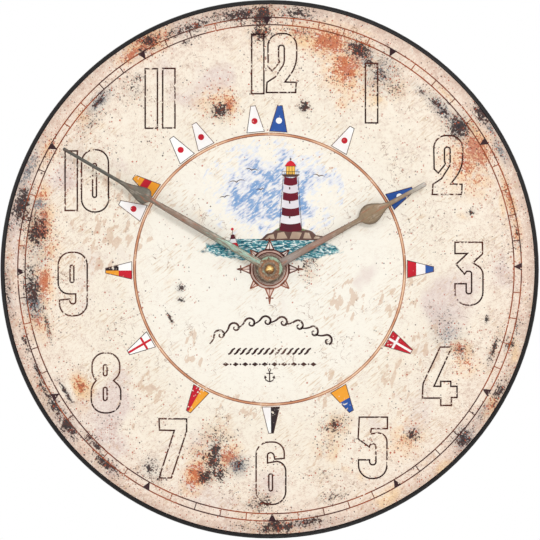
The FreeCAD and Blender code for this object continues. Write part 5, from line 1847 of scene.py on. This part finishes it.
@dataclass
class ScrollOrnament:
    """An arch of wave scrolls over a rope, a row of lozenges and a small anchor."""

    arch_radius: float = 66.0
    arch_centre: float = -99.0
    scroll_turns: Sequence[float] = tuple(spread(8, 9.7))
    strands: Sequence[float] = tuple(spread(14, 3.9))
    rope_up: float = -54.9
    lozenges: Sequence[float] = tuple(spread(10, 6.5))
    lozenge_up: float = -63.5
    line: float = 1.05
    ink: InkFinish = InkFinish("ornament ink", "3a2626", "60443c", worn=0.55)

    def build(self) -> None:
        """Draws the scrolls, the rope's slanted strands, the lozenges with dots, and the anchor."""
        scrolls, rows = Sheet(), Sheet()
        with scrolls.placed(0, 0, self.arch_centre):
            for turn in self.scroll_turns:
                with scrolls.placed(turn, 0, self.arch_radius):
                    pen = Pen(scrolls, -5.8, -2.8, 4, self.line * 0.8)
                    pen.arc(8.2, 48, 1.6, 6).arc(3.4, -150, 1, 10).arc(1.9, -150, 0.8, 8)
                    pen.arc(1, -120, 0.7, 6)
        scrolls.finish("wave_scroll_arch", Layer.LINE, [self.ink])
        for x in self.strands:
            Pen(rows, x - 2.3, self.rope_up - 1.9, 15, self.line).arc(3.6, 50, 1.5).arc(3.6, -50, 0.6)
        y = self.lozenge_up
        for x in self.lozenges:
            rows.filled(((x - 2.2, y), (x, y - 1.4), (x + 2.2, y), (x, y + 1.4)))
        for before, x in zip(self.lozenges, self.lozenges[1:]):
            rows.disc((before + x) / 2, y, 0.62, steps=16)
        rows.finish("ornament_rows", Layer.LINE, [self.ink])
        self._anchor()

    def _anchor(self) -> None:
        """Draws the anchor: its ring, stock, shank, arms and flukes."""
        sheet = Sheet()
        with sheet.placed(0, 0, -67.3):
            sheet.ring(0.55, 1.05, steps=24)
        Pen(sheet, 0, -68.3, -90, 0.85).run(6.6, 0.9)
        Pen(sheet, -2.1, -69.6, 0, 0.62).run(4.2)
        for side in (-1, 1):
            Pen(sheet, 0, -75, 0 if side > 0 else 180, 0.9).arc(3.1, side * 78, 0.6, 9)
            sheet.filled(((side * 1.7, -72.5), (side * 3.8, -73.1), (side * 3.2, -70.8)))
        sheet.finish("ornament_anchor", Layer.LINE, [self.ink])


def slope(low: Numbers, middle: Numbers, high: Numbers) -> float:
    """Gives a curve's slope at the middle of three stations, level at a crest or a waist.

    Args:
        low: The station before.
        middle: The station itself.
        high: The station after.

    Returns:
        The slope.
    """
    left = (middle[1] - low[1]) / max(middle[0] - low[0], 1e-6)
    right = (high[1] - middle[1]) / max(high[0] - middle[0], 1e-6)
    return 2 * left * right / (left + right) if left * right > 0 else 0.0


@dataclass
class SpadeHand:
    """A stamped spade hand: a pillowed blade and a turned boss.

    Its stations are places along it, each with how far out it is and the hand's width there.
    """

    name: str
    body: Body
    bearing: float
    tip: float
    crown: float
    stations: tuple[Numbers, ...]
    boss_profile: tuple[Numbers, ...]
    tones: Stops
    verdigris: Stops
    # The patina's dark mottle, also used as painted shade along the blade's edges.
    dark: Tint
    boss_finish: BossFinish
    knob: Numbers | None = None
    underside: float = 0.28
    section_points: int = 28
    row_step: float = 0.7

    def build(self) -> None:
        """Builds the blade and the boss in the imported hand's place."""
        self._blade()
        self._boss()

    def _width_at(self, reach: float) -> float:
        """Gives the hand's width at a reach, on a smooth curve through the stations.

        Args:
            reach: The distance from the axis.

        Returns:
            The width there.
        """
        places = (self.stations[0], *self.stations, self.stations[-1])
        last = len(self.stations) - 1
        index = next((i for i in range(1, last) if reach <= places[i + 1][0]), last)
        before, here, after, beyond = places[index - 1:index + 3]
        span = after[0] - here[0]
        share = min(max((reach - here[0]) / span, 0), 1)
        cube, square = share**3, share**2
        return (
            (2 * cube - 3 * square + 1) * here[1] + (3 * square - 2 * cube) * after[1]
            + (cube - 2 * square + share) * span * slope(before, here, after)
            + (cube - square) * span * slope(here, after, beyond)
        )

    def _rows(self) -> list[tuple[float, float]]:
        """Gives the reach and width of each cross-section, with a round tip.

        Returns:
            The rows from the foot to the tip.
        """
        end_width = self.stations[-1][1]
        start = self.stations[0][0]
        straight_end = self.tip - end_width / 2
        count = round((straight_end - start) / self.row_step)
        reaches = [start + (straight_end - start) * step / count for step in range(count + 1)]
        rows = [(reach, self._width_at(reach)) for reach in reaches]
        for angle in (math.radians(90 * step / 5.4) for step in range(1, 6)):
            rows.append((straight_end + end_width / 2 * math.sin(angle), end_width * math.cos(angle)))
        return rows

    def _blade(self) -> None:
        """Draws a lens-shaped section out along the hand."""
        rows = self._rows()
        mesh = bmesh.new()
        ring = bmesh.ops.create_circle(mesh, segments=self.section_points, radius=0.5)["verts"]
        reach, width = rows[0]
        for point in ring:
            height = 2 * (self.crown if point.co.y > 0 else self.underside) * self._crown_share(width)
            point.co = Vector((point.co.x * width, reach, point.co.y * height))
        first = list({edge for point in ring for edge in point.link_edges})
        edges = first
        for next_reach, next_width in rows[1:]:
            points, edges = grown(mesh, edges)
            high = self._crown_share(next_width) / self._crown_share(width)
            bmesh.ops.scale(mesh, vec=(next_width / width, 1, high), verts=points)
            bmesh.ops.translate(mesh, verts=points, vec=(0, next_reach - reach, 0))
            reach, width = next_reach, next_width
        bmesh.ops.contextual_create(mesh, geom=edges)
        bmesh.ops.contextual_create(mesh, geom=first)
        self._raise_knob(mesh)
        # The share out to the edge, which the hand's finish reads to paint shade along the blade's edges.
        rim = mesh.verts.layers.float.new(RIM_ATTRIBUTE)
        for point in mesh.verts:
            half = max(self._width_at(min(point.co.y, self.tip)) / 2, 0.3)
            point[rim] = min(abs(point.co.x) / half, 1)
        words = self.name.replace("_", " ")
        finish = HandFinish(
            f"{words} patina", self.bearing, self.tip, self.tones, self.verdigris, dark=self.dark
        )
        lift = DIAL.lift_of(self.name) + self.underside + 0.08
        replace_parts(self._placed("blade", mesh, lift, finish), self.name)

    def _crown_share(self, width: float) -> float:
        """Gives how much of its full crown a section of some width has."""
        return min(1, 0.45 + width / 18)

    def _raise_knob(self, mesh: Mesh) -> None:
        """Swells the blade's front into the small knob at the spade's heel, where it has one.

        Args:
            mesh: The blade.
        """
        reach, radius, height = self.knob or (0, 1, 0)
        for point in mesh.verts:
            far = math.hypot(point.co.x, point.co.y - reach) / radius
            if point.co.z > 0 and far < 1:
                point.co.z += height * (1 - far * far) ** 2

    def _placed(self, part: str, mesh: Mesh, lift: float, finish: Finish) -> bpy.types.Object:
        """Turns a mesh to the hand's bearing at its height, and makes it a piece.

        Args:
            part: What part of the hand it is.
            mesh: Its mesh in millimetres, pointing up.
            lift: How far it stands before the paper.
            finish: Its finish.

        Returns:
            The piece.
        """
        bmesh.ops.recalc_face_normals(mesh, faces=mesh.faces[:])
        move = Matrix.Rotation(math.radians(-self.bearing), 4, "Z") @ Matrix.Translation((0, 0, lift))
        bmesh.ops.transform(mesh, matrix=move, verts=mesh.verts[:])
        DIAL.settle(mesh)
        for face in mesh.faces:
            face.smooth = True
        return add_piece(f"{self.name}_{part}", mesh, [finish], self.body)

    def _boss(self) -> None:
        """Turns the boss from its profile."""
        mesh = bmesh.new()
        points = [mesh.verts.new((0, radius, height)) for radius, height in self.boss_profile]
        spun(mesh, points, [mesh.edges.new(pair) for pair in zip(points, points[1:] + points[:1])], 96)
        bmesh.ops.recalc_face_normals(mesh, faces=mesh.faces[:])
        sharp = [
            edge for edge in mesh.edges
            if len(edge.link_faces) == 2 and edge.calc_face_angle() > math.radians(25)
        ]
        bmesh.ops.bevel(
            mesh, geom=sharp, offset=0.09, offset_type="OFFSET", segments=2, profile=0.5,
            affect="EDGES", material=-1,
        )
        self._placed("boss", mesh, DIAL.lift_of(self.name), self.boss_finish)


MINUTE_HAND = SpadeHand(
    "minute_hand", Body.MINUTE, 300.3, 159.5, 0.86,
    stations=(
        (6, 5.8), (14.5, 5), (40, 4.7), (67, 4.35), (84, 3.5), (90.4, 3.1), (92.4, 4.6),
        (94.2, 9.6), (96.2, 11.2), (99.5, 10.2), (104.2, 7.2), (108.7, 4.5), (113.2, 2.9), (118, 2.4),
        (159, 2.25),
    ),
    boss_profile=(
        (2.6, 0), (8.2, 0), (8.5, 0.3), (8.5, 0.62), (8.1, 0.95), (7.3, 1.02), (6.9, 0.78),
        (5.5, 0.72), (5.2, 0.98), (4.4, 1.02), (4.1, 0.82), (3.5, 0.82), (2.6, 0.82),
    ),
    tones=(
        (0, "88604a"), (0.10, "8c705c"), (0.16, "868070"),
        (0.30, "867a6c"), (0.42, "8c7464"), (0.57, "7c6c5e"),
        (0.60, "646054"), (0.68, "6c6254"), (0.74, "4e4c44"),
        (1, "4c4a44"),
    ),
    verdigris=(
        (0, "bebebe"), (0.1, "ebebeb"), (0.24, "e1e1e1"),
        (0.36, "787878"), (0.5, "3c3c3c"), (0.61, "828282"),
        (0.7, "3c3c3c"), (1, "0a0a0a"),
    ),
    dark="463e36",
    boss_finish=BossFinish(
        "minute boss patina", 8.5,
        (
            # The darkest outer rings, from 0.97 out, are painted shade at the boss's rolled edge.
            (0, "786854"), (0.5, "887a68"), (0.62, "926646"),
            (0.8, "966646"), (0.9, "806a54"), (0.97, "685848"),
            (1, "54463a"),
        ),
    ),
    knob=(95.4, 2.6, 0.42),
)

HOUR_HAND = SpadeHand(
    "hour_hand", Body.HOUR, 61.3, 119, 0.92,
    stations=(
        (8, 6.6), (12, 5.5), (37, 4.5), (66, 3.45), (68.4, 4), (70.6, 8.4), (73, 12),
        (76.6, 13.7), (80, 12.2), (83.5, 8.8), (87.2, 4.9), (90.6, 3.3), (104, 2.7), (118, 3.1),
    ),
    boss_profile=(
        (5.6, 0), (10.2, 0), (10.5, 0.3), (10.5, 0.5), (10.1, 0.86), (9.4, 0.98), (5.6, 1),
    ),
    tones=(
        (0, "7e6050"), (0.13, "988a82"), (0.2, "8e7a6e"),
        (0.34, "967464"), (0.52, "8a7660"), (0.62, "8a7458"),
        (0.76, "8e785e"), (0.88, "94806c"), (0.91, "a89e8e"),
        (1, "beb8b0"),
    ),
    verdigris=(
        (0, "5a5a5a"), (0.14, "787878"), (0.3, "323232"),
        (1, "141414"),
    ),
    dark="5c5044",
    boss_finish=BossFinish(
        "hour boss patina", 10.5,
        (
            # Painted shadow: the dark ring at 0.78 lies just outside the minute boss's edge. The paler band
            # at 0.95 is partly a pinkish tone and partly a painted rim highlight, and the darker edge past
            # it is painted shade.
            (0, "705c4c"), (0.78, "58463c"), (0.87, "746052"),
            (0.95, "8a7266"), (1, "5a443a"),
        ),
        green="a89288", green_bearing=150, green_reach=80, green_from=0.86,
    ),
)


@dataclass
class CentreFixing:
    """The nuts, washers and collets that hold the hands and the board together."""

    finishes: tuple[tuple[Finish, str], ...] = (
        (BossFinish(
            "worn brass nut", radius=3.4,
            rings=(
                # Painted highlight and shade: the pale middle is a painted highlight on the dome, and the
                # rings darken to painted shade at its sides.
                (0, "ffeca8"), (0.4, "fad684"), (0.66, "ce9850"),
                (0.84, "865e36"), (1, "70543a"),
            ),
            # Painted shade: the brown tint round the bottom darkens the nut's lower side.
            green="764c26", green_bearing=180, green_reach=75, green_from=0.25,
        ), "cap_nut"),
        (PlainFinish("polished brass", "f0ca7a", "deac5c", (0.1, 0.2), 1, 0.0005),
         "bush_nut threaded_bush dial_washer hour_collet minute_collet"),
        (PlainFinish(
            "turned steel", "b0aeaa", "8c8a88", (0.25, 0.45), 1, 0.003, (1, 0.1, 1)
        ), "minute_arbor"),
        (PlainFinish("gasket rubber", "1e1e1f", "2e2d2c", (0.7, 0.9)), "rubber_gasket"),
    )

    def build(self) -> None:
        """Dresses the nodes of the fixing."""
        dress(self.finishes)


@dataclass
class Movement:
    """The moulded case, the wheels, the motor and the cell behind the board."""

    finishes: tuple[tuple[Finish, str], ...] = (
        (PlainFinish("case plastic", "202022", "2c2c2e", (0.42, 0.62)), "front_case rear_cover"),
        (PlainFinish("knob plastic", "969694", "848482", (0.4, 0.6)), "setting_knob"),
        (PlainFinish("plate plastic", "c4c2ba", "b2b0a8", (0.4, 0.6)), "gear_plate"),
        (PlainFinish("wheel plastic", "e8e5dc", "d6d2c6", (0.3, 0.5)),
         "centre_wheel third_wheel seconds_wheel intermediate_wheel minute_wheel hour_wheel rotor_arbor"),
        (PlainFinish(
            "soft iron", "969698", "767678", (0.35, 0.6), 1, 0.004, (1, 0.2, 1)
        ), "stator coil_core stator_screws clutch_spring"),
        (PlainFinish("sintered magnet", "4a4a4c", "363638", (0.5, 0.7), 0.6), "rotor_magnet"),
        (PlainFinish("bobbin plastic", "ded4bc", "ccc0a6", (0.4, 0.6)), "coil_bobbin"),
        (PlainFinish(
            "copper winding", "c46c42", "964a2c", (0.25, 0.45), 0.9, 0.05, (14, 0.3, 0.3)
        ), "coil_winding"),
        (PlainFinish("circuit laminate", "967042", "7a5830", (0.35, 0.55)), "circuit_board"),
        (PlainFinish("chip resin", "1a1a1b", "242426", (0.18, 0.34)), "clock_chip"),
        (PlainFinish(
            "nickel strip", "cecac0", "aaa69e", (0.2, 0.4), 1, 0.003, (1, 4, 0.2)
        ), "positive_contact negative_contact quartz_crystal"),
        (PlainFinish("plated can", "d6d6d4", "b0b0b0", (0.15, 0.35), 1, 0.002), "cell_can"),
        (SleeveFinish(), "cell_sleeve"),
    )

    def build(self) -> None:
        """Dresses the nodes of the movement."""
        dress(self.finishes)


@dataclass
class Studio:
    """The pale floor, the soft lamps and the camera in front of the dial.

    A lamp is a soft square, given by its name, its place from the dial, its size and its watts.
    """

    view_pixels: float = 540.0
    dial_pixels: float = 538.4
    dial_centre_pixels: tuple[float, float] = (269.6, 269.2)
    camera_distance: float = 3.0
    sensor: float = 36.0
    floor_drop: float = 0.12
    floor_half: float = 1.3
    floor_tint: Tint = "f4f4f3"
    floor_glow: float = 0.12
    fill_strength: float = 0.62
    lamps: tuple[tuple[str, Numbers, float, float], ...] = (
        ("key_lamp", (0.55, -1.9, 0.75), 0.55, 13), ("side_lamp", (-1.6, -1.3, 0.2), 1, 5),
        ("back_lamp", (0.7, 1.9, 0.9), 1, 14),
    )

    def build(self) -> None:
        """Builds the studio."""
        bpy.context.scene.view_settings.view_transform = "Standard"
        self._world()
        self._floor()
        for lamp in self.lamps:
            self._lamp(*lamp)
        self._camera()

    def _seen_white(self, graph: Graph) -> Wire:
        """Gives 1 for rays that should meet the white background.

        Args:
            graph: The nodes that need it.

        Returns:
            The share.
        """
        names = ("Is Camera Ray", "Is Glossy Ray", "Is Transmission Ray")
        path = graph.add("LightPath").outputs
        camera, glossy, through = (Wire(graph, path[name]) for name in names)
        return camera.math("MAXIMUM", glossy).math("MAXIMUM", through)

    def _world(self) -> None:
        """Makes an even white world, dimmer as a lamp than as a background."""
        world = bpy.data.worlds.new("pale studio")
        world.use_nodes = True
        world.node_tree.nodes.clear()
        graph = Graph(world.node_tree)
        strengths = {"Value": self._seen_white(graph), "To Min": self.fill_strength, "To Max": 1.0}
        light = {"Color": "ffffff", "Strength": graph.wire("MapRange", strengths, "Result")}
        graph.add("OutputWorld", {"Surface": graph.wire("Background", light, "Background")})
        bpy.context.scene.world = world

    def _floor(self) -> None:
        """Lays a pale floor under the clock."""
        mesh = bmesh.new()
        place = Matrix.Translation((DIAL.across, 0, cad_box[0].z - self.floor_drop))
        bmesh.ops.create_grid(mesh, x_segments=1, y_segments=1, size=self.floor_half, matrix=place)
        floor = linked("floor", meshed("floor", mesh))
        material = bpy.data.materials.new("pale floor")
        surface = Surface(material)
        surface.cover(self.floor_tint, 0.9)
        glow = {"Emission Color": "ffffff", "Emission Strength": self._seen_white(surface) * self.floor_glow}
        for label, value in glow.items():
            surface.feed(surface.shader.inputs[label], value)
        floor.data.materials.append(material)

    def _lamp(self, name: str, place: Numbers, size: float, watts: float) -> None:
        """Sets up one lamp that faces the dial.

        Args:
            name: What it is called.
            place: Where it stands from the dial.
            size: Its width.
            watts: Its strength.
        """
        light = bpy.data.lights.new(name, "AREA")
        light.size = size
        light.energy = watts
        piece = linked(name, light)
        piece.location = Vector((DIAL.across, 0, DIAL.up)) + Vector(place)
        piece.rotation_euler = (-Vector(place)).to_track_quat("-Z", "Y").to_euler()

    def _camera(self) -> None:
        """Sets the camera straight before the dial, so that the board fills the view as in the photo."""
        low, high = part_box("dial_board")
        metres_per_pixel = (high.x - low.x) / self.dial_pixels
        data = bpy.data.cameras.new("camera")
        data.sensor_width = self.sensor
        data.lens = self.sensor * self.camera_distance / (self.view_pixels * metres_per_pixel)
        data.clip_end = 20.0
        camera = linked("camera", data)
        right, down = (
            (self.view_pixels / 2 - centre) * metres_per_pixel for centre in self.dial_centre_pixels
        )
        rim_front = (low.y + high.y) / 2
        camera.location = (DIAL.across + right, rim_front - self.camera_distance, DIAL.up - down)
        camera.rotation_euler = (math.radians(90), 0, 0)
        bpy.context.scene.camera = camera


@dataclass
class DialFace:
    """The board and the paper, and all that is printed on it."""

    finishes: tuple[tuple[Finish, str], ...] = ((BoardFinish(), "dial_board"), (PaperFinish(), "dial_paper"))

    def build(self) -> None:
        """Dresses the board and prints the dial."""
        dress(self.finishes)
        for print_of in (DialRings, Numerals, Pennants, HarbourPicture, CompassRose, ScrollOrnament):
            print_of().build()


def main() -> None:
    """Builds the studio and the clock, part by part."""
    logging.basicConfig(level=logging.INFO, format="%(name)s: %(message)s")
    for part in (Studio(), DialFace(), MINUTE_HAND, HOUR_HAND, CentreFixing(), Movement()):
        part.build()
        log.info("%s is built", type(part).__name__)


if __name__ == "__main__":
    main()
